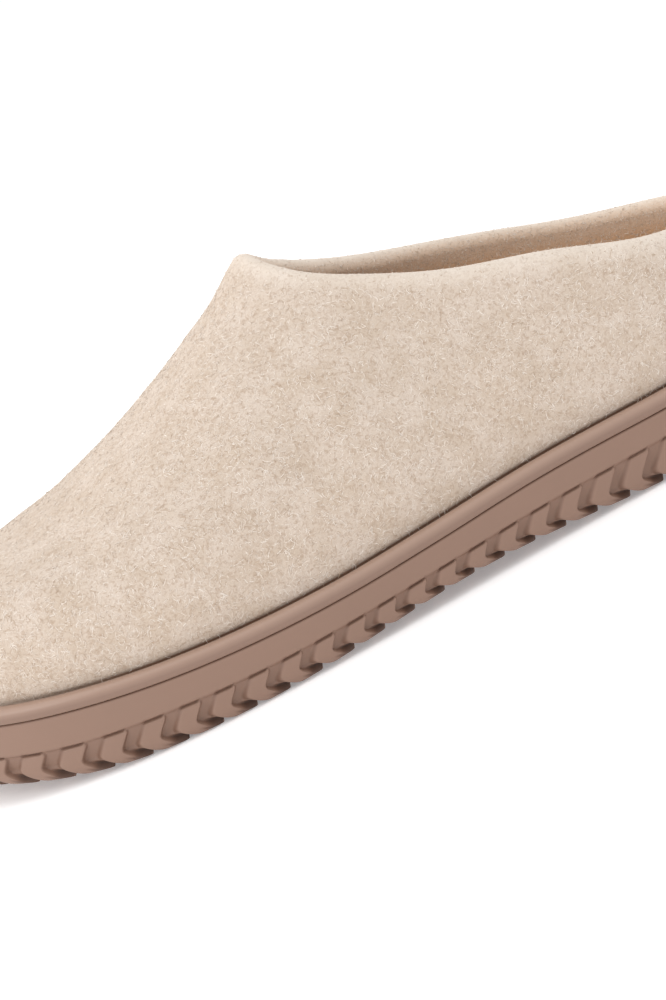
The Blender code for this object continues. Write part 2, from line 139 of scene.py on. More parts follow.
NAMES = [name for name, base, factor in LAST_COLUMNS.values()]
BASES = np.array([base for name, base, factor in LAST_COLUMNS.values()])
FACTORS = np.array([factor for name, base, factor in LAST_COLUMNS.values()])
ROWS = BASES + FACTORS * np.array(list(LAST.values()), float)
CHORDS = np.linalg.norm(np.roll(ROWS[:, :2], -1, 0) - ROWS[:, :2], axis=1)
KNOTS = np.concatenate([[0.0], np.cumsum(CHORDS)[:-1]]) / CHORDS.sum()


def last_at(at):
    """Columns of the table, in millimetres and degrees, at places 0..1 around the foot."""
    at = np.asarray(at, float)
    columns = loop_spline(KNOTS, ROWS, at.ravel()).T
    return {name: column.reshape(at.shape) for name, column in zip(NAMES, columns)}


def outward(x, y):
    """Plan normal of a closed curve that runs toe, outer side, heel, inner side: its tangent turned."""
    dx = np.roll(x, -1) - np.roll(x, 1)
    dy = np.roll(y, -1) - np.roll(y, 1)
    return dy / np.hypot(dx, dy), -dx / np.hypot(dx, dy)


FINE_COUNT = 4000
FINE = np.arange(FINE_COUNT) / FINE_COUNT
FINE_LAST = last_at(FINE)
SOLE_NORMAL = outward(FINE_LAST["from_toe"], FINE_LAST["side"])
COLLAR_NORMAL = outward(FINE_LAST["collar_from_toe"], FINE_LAST["collar_side"])
SOLE_STEPS = np.hypot(
    np.roll(FINE_LAST["from_toe"], -1) - FINE_LAST["from_toe"],
    np.roll(FINE_LAST["side"], -1) - FINE_LAST["side"],
)
ARC = np.concatenate([[0.0], np.cumsum(SOLE_STEPS)])
GIRTH = ARC[-1]
HEEL_ARC = ARC[np.argmax(FINE_LAST["from_toe"])]
TOE_ARC = ARC[np.argmin(np.where(FINE < 0.5, FINE_LAST["from_toe"], np.inf))]
SOLE_MIDDLE = 0.5 * (FINE_LAST["side"].min() + FINE_LAST["side"].max())
print(f"girth of the sole {GIRTH:.1f} mm, outer side toe to heel {HEEL_ARC - TOE_ARC:.1f} mm")

# %% Lines of the sole
# Percent of the sole length, and millimetres above the floor, of the line where felt meets rubber
FEATHER = (
    (0.0, 29.5),
    (8.3, 25.4),
    (17.4, 22.4),
    (30.7, 19.8),
    (41.7, 19.2),
    (53.0, 20.2),
    (64.4, 21.7),
    (81.1, 22.0),
    (100.0, 22.7),
)
# Percent of the sole length, and millimetres above the floor, of the line that runs over the lugs
LUG_TOPS = (
    (0.0, 18.0),
    (6.4, 13.7),
    (10.6, 11.9),
    (18.2, 10.1),
    (35.0, 8.6),
    (41.7, 8.9),
    (54.0, 10.2),
    (63.0, 11.2),
    (75.0, 11.5),
    (100.0, 12.2),
)

# Percent of one side from toe to heel, and how many millimetres the lugs there lie closer to the heel than
# if they were evenly spaced
LUG_SHIFTS = (
    (0.0, 0.0),
    (12.6, -1.7),
    (23.3, 1.0),
    (38.7, 0.3),
    (44.4, 0.0),
    (53.4, -1.3),
    (59.9, -2.4),
    (68.6, -3.8),
    (100.0, 0.0),
)
TOE_SPRING = 9.8
TOE_SPRING_START = 60.0
ARCH_FRONT = 80.0
ARCH_BACK = 216.0
ARCH_HEIGHT = 3.4
HEEL_LIFT = 1.5
HEEL_LIFT_START = 248.0


def smooth_step(value):
    """Rises from 0 to 1 between value 0 and 1, flat at both ends: three squares less two cubes."""
    value = np.clip(value, 0, 1)
    return value**2 * (3 - 2 * value)


def place_at(arc):
    """Place 0..1 around the foot at a length along the sole's outline."""
    return np.interp(np.mod(arc, GIRTH), ARC, np.append(FINE, 1.0))


def around(values, at):
    """Value at places 0..1 of something known at the fine places."""
    return np.interp(np.mod(at, 1.0), np.append(FINE, 1.0), np.append(values, values[0]))


def side_arcs(share):
    """Lengths along the outline, at shares from toe to heel, on the outer and on the inner side."""
    lateral = TOE_ARC + (HEEL_ARC - TOE_ARC) * share
    medial = TOE_ARC + GIRTH - (GIRTH - HEEL_ARC + TOE_ARC) * share
    return lateral, medial


def outline(at, offset):
    """Plan point of the sole's outline moved out along its normal by an offset."""
    last = last_at(at)
    x = last["from_toe"] + offset * around(SOLE_NORMAL[0], at)
    y = last["side"] + offset * around(SOLE_NORMAL[1], at)
    return x, y


def through(rows, percent):
    """Smooth line through rows of percent and value: cubics with slopes taken from neighbouring rows."""
    x, z = np.array(rows).T
    slope = np.gradient(z, x)
    k = np.clip(np.searchsorted(x, percent, side="right") - 1, 0, len(x) - 2)
    h = x[k + 1] - x[k]
    t = np.clip((percent - x[k]) / h, 0.0, 1.0)
    start = z[k] * (1 + 2 * t) * (1 - t) ** 2 + h * slope[k] * t * (1 - t) ** 2
    return start + z[k + 1] * t**2 * (3 - 2 * t) + h * slope[k + 1] * t**2 * (t - 1)


def feather_up(from_toe):
    """Height of the feather line, where felt meets rubber."""
    return through(FEATHER, 100 * from_toe / SOLE_LENGTH)


def arch_share(from_toe):
    """Squared cosine: 1 in the middle of the arch, 0 at its front and back and beyond them."""
    middle = 0.5 * (ARCH_FRONT + ARCH_BACK)
    half = 0.5 * (ARCH_BACK - ARCH_FRONT)
    return np.cos(0.5 * np.pi * np.clip((from_toe - middle) / half, -1, 1)) ** 2


def ground_up(from_toe):
    """Height of the lug bottoms: a parabola up to the toe, an arch and a small lift behind."""
    toe = TOE_SPRING * np.clip((TOE_SPRING_START - from_toe) / TOE_SPRING_START, 0, None) ** 2
    past = (from_toe - HEEL_LIFT_START) / (SOLE_LENGTH - HEEL_LIFT_START)
    heel = HEEL_LIFT * np.clip(past, 0, None) ** 2
    return toe + ARCH_HEIGHT * arch_share(from_toe) + heel


widest = FINE_LAST["from_toe"][np.argmin(FINE_LAST["side"])]
print(f"at the ball the feather line is {feather_up(np.array([widest]))[0]:.1f} mm up")

# %% [markdown]
# ## From arrays to meshes
# Every piece below is a grid of points: rows by columns. Blender can take such a grid face by face in a
# loop, but handing over whole arrays with `foreach_set` is far quicker. Where grids share an edge, or
# where a row shrinks to a point, the doubles are merged so that the skin is closed, and the faces are then
# turned to point outwards.

# %% Grid helpers
WELD = 1e-6


def to_metres(points):
    """Points in the frame: the middle of the sole's length and width is at x = 0 and y = 0."""
    return (points - np.array([0.5 * SOLE_LENGTH, SOLE_MIDDLE, 0.0])) * MM


def grid_faces(rows, columns, wrap_rows, wrap_columns, first):
    """Four corner numbers of each face of a grid whose points are numbered row by row from a first."""
    index = first + np.arange(rows * columns).reshape(rows, columns)
    if wrap_rows:
        index = np.concatenate([index, index[:1]])
    if wrap_columns:
        index = np.concatenate([index, index[:, :1]], axis=1)
    corners = (index[:-1, :-1], index[:-1, 1:], index[1:, 1:], index[1:, :-1])
    return np.stack(corners, -1).reshape(-1, 4)


def mesh_from_arrays(name, points, faces, attributes=()):
    """Mesh from an array of points and an array of four-cornered faces, with named point values."""
    mesh = bpy.data.meshes.new(name)
    mesh.vertices.add(len(points))
    mesh.vertices.foreach_set("co", np.ascontiguousarray(points, np.float32).ravel())
    mesh.loops.add(faces.size)
    mesh.loops.foreach_set("vertex_index", np.ascontiguousarray(faces, np.int32).ravel())
    mesh.polygons.add(len(faces))
    mesh.polygons.foreach_set("loop_start", np.arange(0, faces.size, 4, dtype=np.int32))
    for key, values in dict(attributes).items():
        layer = mesh.attributes.new(key, "FLOAT", "POINT")
        layer.data.foreach_set("value", np.ascontiguousarray(values, np.float32).ravel())
    mesh.update(calc_edges=True)
    return mesh


def close_skin(mesh):
    """Merges the doubles of a mesh made of several grids and turns its faces outwards."""
    skin = bmesh.new()
    skin.from_mesh(mesh)
    bmesh.ops.remove_doubles(skin, verts=skin.verts[:], dist=WELD)
    bmesh.ops.recalc_face_normals(skin, faces=skin.faces[:])
    skin.to_mesh(mesh)
    skin.free()


def show_piece(mesh, material, node=None):
    """Makes the object of a mesh, which moves with the shoe and stands for a solid if one is named."""
    mesh.materials.append(material)
    mesh.shade_smooth()
    piece = bpy.data.objects.new(mesh.name, mesh)
    bpy.context.scene.collection.objects.link(piece)
    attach(piece, "root")
    if node:
        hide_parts(node)
    triangles = sum(len(face.vertices) - 2 for face in mesh.polygons)
    print(f"{mesh.name}: {triangles} triangles")


# %% Material helpers


def linear(colour):
    """Linear red, green, blue and alpha of an sRGB hex colour."""
    channels = np.array([int(colour[k : k + 2], 16) for k in (1, 3, 5)]) / 255
    low = channels / 12.92
    high = ((channels + 0.055) / 1.055) ** 2.4
    return (*np.where(channels <= 0.04045, low, high), 1.0)


def per_metre(size):
    """Texture scale that makes one cell of a pattern a size in millimetres."""
    return 1.0 / (size * MM)


def add_node(tree, kind, inputs, **settings):
    """Adds a node, sets its settings, and sets or links each input named or numbered."""
    node = tree.nodes.new(kind)
    for key, value in settings.items():
        setattr(node, key, value)
    for key, value in inputs.items():
        if isinstance(value, bpy.types.NodeSocket):
            tree.links.new(value, node.inputs[key])
        else:
            node.inputs[key].default_value = value
    return node


def start_material(name):
    """New material with its node tree, its shader and the object's own coordinates."""
    material = bpy.data.materials.new(name)
    material.use_nodes = True
    tree = material.node_tree
    place = add_node(tree, "ShaderNodeTexCoord", {}).outputs["Object"]
    return material, tree, tree.nodes["Principled BSDF"], place


# %% [markdown]
# ## The felt shell
# The upper is one thick piece of felt. In plan it starts behind the bead; from there a cubic curve carries
# it up to the collar. The wall turns over the collar in a half round, fullest at the tip of the throat,
# and comes down again inside, one felt thickness in. It could be one sheet with a Solidify modifier, but
# then the cut edge would be square; drawn as one closed section carried round the shoe, the edge is as
# round as a pressed rim is.

# %% Felt surface


def felt_outside(at, share, swelling=COLLAR_SWELL):
    """Outer felt: a cubic Bezier curve from the feather line, share 0, to the collar edge, share 1.

    It leaves the feather line upward and a little outward, and meets the collar along a line that dips
    away from it. Near the collar a bell curve of the distance to the edge makes the felt swell.
    """
    at, share = np.broadcast_arrays(np.asarray(at, float), np.asarray(share, float))
    last = last_at(at)
    nx, ny = around(SOLE_NORMAL[0], at), around(SOLE_NORMAL[1], at)
    cx, cy = around(COLLAR_NORMAL[0], at), around(COLLAR_NORMAL[1], at)
    x, y = outline(at, -WELT_WIDTH - GAP)
    dip = np.radians(last["dip"])
    flat = last["reach"] * np.cos(dip)
    start = np.stack([x, y, feather_up(last["from_toe"])], -1)
    leave = start + np.stack([nx * last["bulge"], ny * last["bulge"], last["rise"]], -1)
    end = np.stack([last["collar_from_toe"], last["collar_side"], last["collar_up"]], -1)
    reach = end + np.stack([cx * flat, cy * flat, -last["reach"] * np.sin(dip)], -1)
    s = share[..., None]
    curve = (1 - s) ** 3 * start + 3 * (1 - s) ** 2 * s * leave
    curve = curve + 3 * (1 - s) * s**2 * reach + s**3 * end
    below = np.linalg.norm(end - curve, axis=-1)
    swell = swelling * np.exp(-((below / COLLAR_BAND) ** 2))
    away = np.stack([cx * np.sin(dip), cy * np.sin(dip), np.cos(dip)], -1)
    return curve + swell[..., None] * away


def unit(vectors):
    """Vectors divided by their length."""
    return vectors / np.linalg.norm(vectors, axis=-1, keepdims=True)


def felt_normal(at, share, swelling=COLLAR_SWELL):
    """Outward normal: the cross product of a small step around the felt and a small step up it."""
    step = 1e-3
    higher = felt_outside(at, np.clip(share + step, 0, 1), swelling)
    lower = felt_outside(at, np.clip(share - step, 0, 1), swelling)
    across = felt_outside(at + step, share, swelling) - felt_outside(at - step, share, swelling)
    return unit(np.cross(across, higher - lower))


def rim_swell(at):
    """Extra width of the rolled rim: even all round, fuller by a bell curve at the tip of the throat."""
    behind = last_at(at)["collar_from_toe"] - FINE_LAST["collar_from_toe"].min()
    return RIM_SWELL + THROAT_SWELL * np.exp(-((behind / THROAT_REACH) ** 2))


def felt_inside(at, share):
    """Inner felt: one felt thickness inside the outer felt as it would be without its swollen rim.

    A bell curve of the distance to the collar, much wider than the rim, leads it up to the rim's inner
    edge, so the inner face runs down from the rim with no lip.
    """
    plain = felt_outside(at, share, 0.0) - FELT * felt_normal(at, share, 0.0)
    plain_edge = felt_outside(at, 1.0, 0.0) - FELT * felt_normal(at, np.ones_like(share), 0.0)
    rim_width = (FELT + rim_swell(at))[..., None]
    rim_edge = felt_outside(at, 1.0) - rim_width * felt_normal(at, np.ones_like(share))
    below = np.linalg.norm(plain_edge - plain, axis=-1)
    return plain + np.exp(-((below / ROLL_BAND) ** 2))[..., None] * (rim_edge - plain_edge)


# %% Closed section of the shell
SHELL_COLUMNS = 360
OUTSIDE_ROWS = 146
RIM_ROWS = 13
INSIDE_ROWS = 46
MARGIN_ROWS = 5
NEAR_EDGE = 0.98
INSIDE_FOOT = 0.03

shell_at = place_at(TOE_ARC + GIRTH * np.arange(SHELL_COLUMNS) / SHELL_COLUMNS)
margin_low = feather_up(last_at(shell_at)["from_toe"]) - CUP_DEPTH + GAP


def shell_margin(offset):
    """Rows of the felt's lower edge, which hides in the sole: straight up at an offset of the outline."""
    x, y = outline(shell_at, offset)
    share = np.linspace(0, 1, MARGIN_ROWS, endpoint=False)[:, None]
    top = feather_up(last_at(shell_at)["from_toe"])
    up = margin_low + share * (top - margin_low)
    return np.stack([x + 0 * up, y + 0 * up, up], -1)


def shell_rim():
    """Rows over the collar: a half circle, as wide as the rolled rim, from the outer to the inner face."""
    edge = felt_outside(shell_at, 1.0)
    normal = felt_normal(shell_at, np.ones(SHELL_COLUMNS))
    along = unit(edge - felt_outside(shell_at, NEAR_EDGE))
    angle = np.linspace(0, np.pi, RIM_ROWS + 2)[1:-1][:, None, None]
    radius = 0.5 * (FELT + rim_swell(shell_at))[:, None]
    return edge + radius * ((np.cos(angle) - 1) * normal + np.sin(angle) * along)


outside_share = np.linspace(0, 1, OUTSIDE_ROWS)[:, None] + np.zeros(SHELL_COLUMNS)
inside_share = np.linspace(1, INSIDE_FOOT, INSIDE_ROWS)[:, None] + np.zeros(SHELL_COLUMNS)
outside_at = shell_at + 0 * outside_share
inside_at = shell_at + 0 * inside_share
shell = np.concatenate(
    [
        shell_margin(-WELT_WIDTH - GAP),
        felt_outside(outside_at, outside_share),
        shell_rim(),
        felt_inside(inside_at, inside_share),
        shell_margin(-WELT_WIDTH - GAP - FELT)[::-1],
    ]
)
print("shell grid", shell.shape[:2], "highest", f"{shell[..., 2].max():.1f} mm")

# %% [markdown]
# ### Soft unevenness and creases
# Felt is pressed wet and dries a little uneven. Sculpting would do it, but a sum of long waves is quicker
# and repeats exactly. The few creases that a hand or a foot leaves are placed one by one: each is a soft
# trough, a bell curve across its line and another along it. Where the felt goes down behind the bead, it
# is drawn in, which leaves the dark line that the eye reads as the join.

# %% Lumps, creases and the tuck at the bead
# Place in millimetres from the toe and above the floor, side of the shoe, lean in degrees from upright,
# then length, width and depth in millimetres
CREASE_COLUMNS = ("from_toe", "up", "side", "lean", "length", "width", "depth")
CREASES = {
    "flex behind the ball, outer": (112.0, 44.0, -1, 38.0, 26.0, 11.0, 0.9),
    "flex behind the ball, inner": (108.0, 46.0, 1, 38.0, 26.0, 11.0, 0.9),
    "hollow under the instep, outer": (165.0, 47.0, -1, 62.0, 30.0, 12.0, 0.8),
    "hollow under the instep, inner": (163.0, 47.0, 1, 62.0, 30.0, 12.0, 0.8),
    "toe break": (62.0, 58.0, -1, 74.0, 22.0, 9.0, 0.5),
    "heel back, outer": (238.0, 42.0, -1, 15.0, 16.0, 9.0, 0.5),
}
CREASE_SIDE_FADE = 12.0
LUMP_WAVES = 16
LUMP_SPREAD = (0.7, 1.5)
LUMP_SIZE = 24.0
LUMP_HEIGHT = 0.22
LUMP_SEED = 3
NAP_LUMP_SIZE = 7.0
NAP_LUMP_HEIGHT = 0.05
NAP_LUMP_SEED = 4
NAP_RISE = 0.5
INNER_MOVE = 0.5
CALM_COLLAR = 12.0
CALM_BEAD = 8.0
TUCK = 0.6
TUCK_HEIGHT = 0.5


def lumps(points, size, seed):
    """Soft unevenness of about -1 to 1: plane waves near one size, in many directions, added up."""
    rng = np.random.default_rng(seed)
    direction = unit(rng.normal(size=(LUMP_WAVES, 3)))
    turns = 2 * np.pi / (size * rng.uniform(*LUMP_SPREAD, LUMP_WAVES))
    shift = rng.uniform(0, 2 * np.pi, LUMP_WAVES)
    return np.sin(points @ (direction * turns[:, None]).T + shift).sum(-1) / np.sqrt(LUMP_WAVES)


def creases(points):
    """Depth of the troughs: for each row a bell curve across its line times a bell curve along it."""
    depth = np.zeros(points.shape[:-1])
    for row in CREASES.values():
        crease = dict(zip(CREASE_COLUMNS, row))
        lean = math.radians(crease["lean"])
        x = points[..., 0] - crease["from_toe"]
        z = points[..., 2] - crease["up"]
        along = x * math.sin(lean) + z * math.cos(lean)
        across = x * math.cos(lean) - z * math.sin(lean)
        bell = np.exp(-((along / crease["length"]) ** 2) - (across / crease["width"]) ** 2)
        own_side = 0.5 + 0.5 * np.tanh(crease["side"] * points[..., 1] / CREASE_SIDE_FADE)
        depth += crease["depth"] * bell * own_side
    return depth


def grid_normal(grid):
    """Outward normal of a grid closed both ways, from the neighbours of each point."""
    across = np.roll(grid, -1, 1) - np.roll(grid, 1, 1)
    upward = np.roll(grid, -1, 0) - np.roll(grid, 1, 0)
    return unit(np.cross(across, upward))


shell_normal = grid_normal(shell)
above_bead = shell[..., 2] - feather_up(shell[..., 0])
tuck = TUCK * np.exp(-((np.clip(above_bead, 0, None) / TUCK_HEIGHT) ** 2))
broad = LUMP_HEIGHT * lumps(shell, LUMP_SIZE, LUMP_SEED)
close = NAP_LUMP_HEIGHT * lumps(shell, NAP_LUMP_SIZE, NAP_LUMP_SEED)
to_collar = np.linalg.norm(shell - felt_outside(shell_at, 1.0), axis=-1)
calm = np.clip(above_bead / CALM_BEAD, 0, 1) * (1 - np.exp(-((to_collar / CALM_COLLAR) ** 2)))
move = (NAP_RISE + (broad + close) - creases(shell)) * calm - tuck
outer_rows = slice(0, MARGIN_ROWS + OUTSIDE_ROWS + RIM_ROWS)
rim_rows = slice(MARGIN_ROWS + OUTSIDE_ROWS, MARGIN_ROWS + OUTSIDE_ROWS + RIM_ROWS)
inner_rows = slice(MARGIN_ROWS + OUTSIDE_ROWS + RIM_ROWS, None)
shell[outer_rows] += move[outer_rows][..., None] * shell_normal[outer_rows]
shell[inner_rows] += INNER_MOVE * move[inner_rows][..., None] * shell_normal[inner_rows]
shell_normal = grid_normal(shell)
print(f"felt moved by {move.min():.2f} to {move.max():.2f} mm")

# %% [markdown]
# ### Pressed wool felt
# Felt has no threads: its fibres are matted by wet pressing. The eye gets a matt, warm cream with tan
# flecks and soft cloudy patches where fleeces of two shades were carded together. So the ground is a mix
# of noises at real sizes, the surface is very rough, and a sheen stands for the finest down. Values kept
# with the shell's points then paint light and shade into it: a painted highlight on the rim, painted warm
# bounce light on the lining, and painted shade in the fold at the bead.

# %% Felt material
FELT_CREAM = "#D4C5B7"
FELT_BODY = "#CAB9A8"
FELT_TAN = "#A68C76"
# Painted shade in the fold at the bead
FELT_SHADE = "#7A5238"
# Painted warm bounce light on the lining: its colour, and where it starts and fills below the collar
LINING_PAINTED_BOUNCE = "#D3AA83"
LINING_START = 3.5
LINING_FADE = 5.5
# Painted highlight on the rolled rim: its colour, its share, and how far it fades down the faces
RIM_PAINTED_HIGHLIGHT = "#F2E8DC"
RIM_SHARE = 0.65
RIM_FADE = 2.5
# Painted shade in the fold at the bead: its share and its height
CREASE_SHADE = 0.95
CREASE_HEIGHT = 0.32
# Painted highlight on the faces just below the rim, as a share of that on its top
RIM_EDGE_PAINTED_HIGHLIGHT = 0.5
# Millimetres. Single fibres are finer, so the grain is drawn as coarse as it needs to show
FELT_CLOUD = 9.0
FELT_FLECK = 1.1
FELT_GRAIN = 0.5
FELT_BUMP = 0.25
FLECK_SHARE = 0.66
# Painted light and shade by the shell's point values: highlight on the rim, warm bounce light on the
# lining, shade at the bead
FELT_TINTS = {"rim": RIM_PAINTED_HIGHLIGHT, "lining_painted_bounce": LINING_PAINTED_BOUNCE, "shade": FELT_SHADE}


def pressed_wool_felt(name, light, body, dark):
    """Matt carded wool: clouds of light and body colour, dark flecks, and a grain for the bump."""
    material, tree, shader, place = start_material(name)
    cloud = add_node(
        tree, "ShaderNodeTexNoise", {"Vector": place, "Scale": per_metre(FELT_CLOUD), "Detail": 3.0}
    )
    fleck = add_node(
        tree,
        "ShaderNodeTexNoise",
        {"Vector": place, "Scale": per_metre(FELT_FLECK), "Detail": 3.0, "Distortion": 1.2},
    )
    grain = add_node(
        tree, "ShaderNodeTexNoise", {"Vector": place, "Scale": per_metre(FELT_GRAIN), "Detail": 2.0}
    )
    patches = add_node(
        tree, "ShaderNodeMapRange", {"Value": cloud.outputs["Fac"], "From Min": 0.35, "From Max": 0.65}
    )
    ground = add_node(
        tree,
        "ShaderNodeMix",
        {0: patches.outputs["Result"], 6: linear(body), 7: linear(light)},
        data_type="RGBA",
    )
    flecks = add_node(
        tree,
        "ShaderNodeMapRange",
        {"Value": fleck.outputs["Fac"], "From Min": 0.46, "From Max": 0.74, "To Max": FLECK_SHARE},
    )
    colour = add_node(
        tree,
        "ShaderNodeMix",
        {0: flecks.outputs["Result"], 6: ground.outputs[2], 7: linear(dark)},
        data_type="RGBA",
    )
    for value, tint in FELT_TINTS.items():
        amount = add_node(tree, "ShaderNodeAttribute", {}, attribute_name=value).outputs["Fac"]
        colour = add_node(
            tree,
            "ShaderNodeMix",
            {0: amount, 6: colour.outputs[2], 7: linear(tint)},
            data_type="RGBA",
        )
    tree.links.new(colour.outputs[2], shader.inputs["Base Color"])
    height = add_node(
        tree,
        "ShaderNodeMath",
        {0: fleck.outputs["Fac"], 1: grain.outputs["Fac"]},
        operation="ADD",
    )
    bump = add_node(
        tree, "ShaderNodeBump", {"Height": height.outputs[0], "Strength": 0.5, "Distance": FELT_BUMP * MM}
    )
    tree.links.new(bump.outputs["Normal"], shader.inputs["Normal"])
    shader.inputs["Roughness"].default_value = 0.95
    shader.inputs["Specular IOR Level"].default_value = 0.2
    shader.inputs["Sheen Weight"].default_value = 0.6
    shader.inputs["Sheen Roughness"].default_value = 0.5
    shader.inputs["Sheen Tint"].default_value = linear(light)
    return material


felt = pressed_wool_felt("pressed wool felt", FELT_CREAM, FELT_BODY, FELT_TAN)
shell_faces = grid_faces(*shell.shape[:2], True, True, 0)
# Painted highlight on the rolled rim: fullest on its top, fading down the outer and inner faces
rim_turn = np.linspace(0, np.pi, RIM_ROWS + 2)[1:-1]
from_rim = to_collar.copy()
from_rim[inner_rows] = from_rim[inner_rows] - FELT - RIM_SWELL
shell_rim_painted_highlight = RIM_EDGE_PAINTED_HIGHLIGHT * np.exp(-((from_rim / RIM_FADE) ** 2))
shell_rim_painted_highlight[rim_rows] = RIM_EDGE_PAINTED_HIGHLIGHT + (1 - RIM_EDGE_PAINTED_HIGHLIGHT) * np.sin(rim_turn)[:, None]
shell_rim_painted_highlight *= RIM_SHARE
# Painted warm bounce light on the lining, full below the collar
shell_lining_painted_bounce = smooth_step((to_collar - LINING_START) / LINING_FADE)
shell_lining_painted_bounce[: rim_rows.start] = 0
# Painted shade in the fold where the felt meets the bead
shell_shade = CREASE_SHADE * np.exp(-((above_bead / CREASE_HEIGHT) ** 2))
shell_mesh = mesh_from_arrays(
    "felt_upper",
    to_metres(shell.reshape(-1, 3)),
    shell_faces,
    {"rim": shell_rim_painted_highlight, "lining_painted_bounce": shell_lining_painted_bounce, "shade": shell_shade},
)
close_skin(shell_mesh)
show_piece(shell_mesh, felt, "upper")

# %% [markdown]
# ### Loose fibres
# Close to, felt is a tangle of curled fibres. Blender's own hair would render them, but it isn't a mesh,
# so each fibre here is a narrow ribbon of three faces. It starts at a random point of the shell, curls by a
# steady turn in the plane of the felt and arches a little above it. A few stand up, and make the soft
# edge that wool has against the light. Real fibres are about 0.03 mm thick; these are drawn about five
# times as thick, so that they show in the picture as tufts of fibre do.

# %% Fibre ribbons
FIBRE_POINTS = 4
FIBRE_WIDTH = 0.14
FIBRE_SHORT = 1.2
FIBRE_LONG = 2.8
FIBRE_CURL = 8.0
CURL_SPREAD = 0.5
FIBRE_ROLL = 0.4
FIBRE_TAPER = (0.5, 1.0, 0.9, 0.15)
WIDTH_SPREAD = (0.7, 1.3)
STANDING_SHARE = 0.05
STANDING_LIFT = (0.3, 0.9)
STANDING_CURVE = 1.4
LYING_LIFT = (0.03, 0.12)
FIBRE_SUNK = 0.04
FIBRES_PER_PIECE = 32000
FIBRE_PIECES = 3
FIBRE_SEED = 20
BEAD_ROWS = 2
BEFORE_RIM = 6
AFTER_RIM = 4
RIM_LENGTH = 0.5
LINING_ROWS = 18
LINING_NAP = 2.5
# Tone of the fibres on the lining, lowered for painted warm bounce light
LINING_PAINTED_BOUNCE_TONE = 0.7


def fibre_ribbons(count, seed):
    """Points and tones of curled ribbons on the felt.

    Each fibre starts on a face picked by its area. Its heading turns evenly along its length, so it is an
    arc in the felt's tangent plane, raised by half a sine wave, or by a rising curve where it stands up.
    """
    rng = np.random.default_rng(seed)
    rows = slice(MARGIN_ROWS + BEAD_ROWS, MARGIN_ROWS + OUTSIDE_ROWS + RIM_ROWS + LINING_ROWS)
    base = shell[rows]
    normals = shell_normal[rows]
    across = np.roll(base, -1, 1) - base
    area = np.linalg.norm(np.cross(across[:-1], base[1:] - base[:-1]), axis=-1)
    area[OUTSIDE_ROWS + RIM_ROWS // 2 :] *= LINING_NAP
    pick = rng.choice(area.size, size=count, p=area.ravel() / area.sum())
    row, column = np.divmod(pick, base.shape[1])
    beside = (column + 1) % base.shape[1]
    a, b = rng.random((2, count, 1))
    low = base[row, column] * (1 - a) + base[row, beside] * a
    high = base[row + 1, column] * (1 - a) + base[row + 1, beside] * a
    root = low * (1 - b) + high * b
    normal = normals[row, column]
    beyond = across[row, column]
    along = unit(beyond - (beyond * normal).sum(-1, keepdims=True) * normal)
    upward = np.cross(normal, along)
    on_rim = (row > OUTSIDE_ROWS - BEFORE_RIM) & (row < OUTSIDE_ROWS + RIM_ROWS + AFTER_RIM)
    length = rng.uniform(FIBRE_SHORT, FIBRE_LONG, count) * np.where(on_rim, RIM_LENGTH, 1.0)
    standing = rng.random(count) < STANDING_SHARE
    lift = np.where(standing, rng.uniform(*STANDING_LIFT, count), rng.uniform(*LYING_LIFT, count))
    turn = rng.normal(0.0, CURL_SPREAD, count) * FIBRE_CURL
    heading = rng.uniform(0, 2 * np.pi, count)
    share = np.linspace(0, 1, FIBRE_POINTS)
    angle = heading[:, None] + turn[:, None] * share
    step = (length / (FIBRE_POINTS - 1))[:, None]
    steps = np.stack([np.cos(angle), np.sin(angle)], -1) * step[..., None]
    path = np.cumsum(steps, axis=1) - steps
    rise = np.where(standing[:, None], share**STANDING_CURVE, np.sin(np.pi * share))
    rise = rise * lift[:, None] - FIBRE_SUNK
    place = root[:, None] + path[..., :1] * along[:, None] + path[..., 1:] * upward[:, None]
    place = place + rise[..., None] * normal[:, None]
    roll = rng.uniform(-FIBRE_ROLL, FIBRE_ROLL, count)[:, None, None]
    forward = np.cos(angle)[..., None] * along[:, None] + np.sin(angle)[..., None] * upward[:, None]
    flat_side = np.cross(normal[:, None], forward)
    edge = np.cos(roll) * flat_side + np.sin(roll) * normal[:, None]
    taper = np.array(FIBRE_TAPER)[None, :, None]
    half = 0.5 * FIBRE_WIDTH * taper * rng.uniform(*WIDTH_SPREAD, count)[:, None, None] * edge
    points = np.stack([place - half, place + half], 2)
    inside = row > OUTSIDE_ROWS + RIM_ROWS // 2
    # Fibres on the lining get lower tones, more often tan and less white: painted warm bounce light
    tone = np.repeat(rng.random(count) * np.where(inside, LINING_PAINTED_BOUNCE_TONE, 1.0), FIBRE_POINTS * 2)
    return points.reshape(-1, 3), tone


def ribbon_faces(count):
    """Corner numbers of the ribbons' faces: each joins two neighbouring pairs of points."""
    first = np.arange(count)[:, None] * FIBRE_POINTS * 2 + np.arange(FIBRE_POINTS - 1) * 2
    return np.stack([first, first + 2, first + 3, first + 1], -1).reshape(-1, 4)


# %% Fibre material
FIBRE_WHITE = "#F1E8DE"
FIBRE_BODY = "#DACBBD"
FIBRE_TAN = "#BFA993"
TAN_SHARE = 0.2


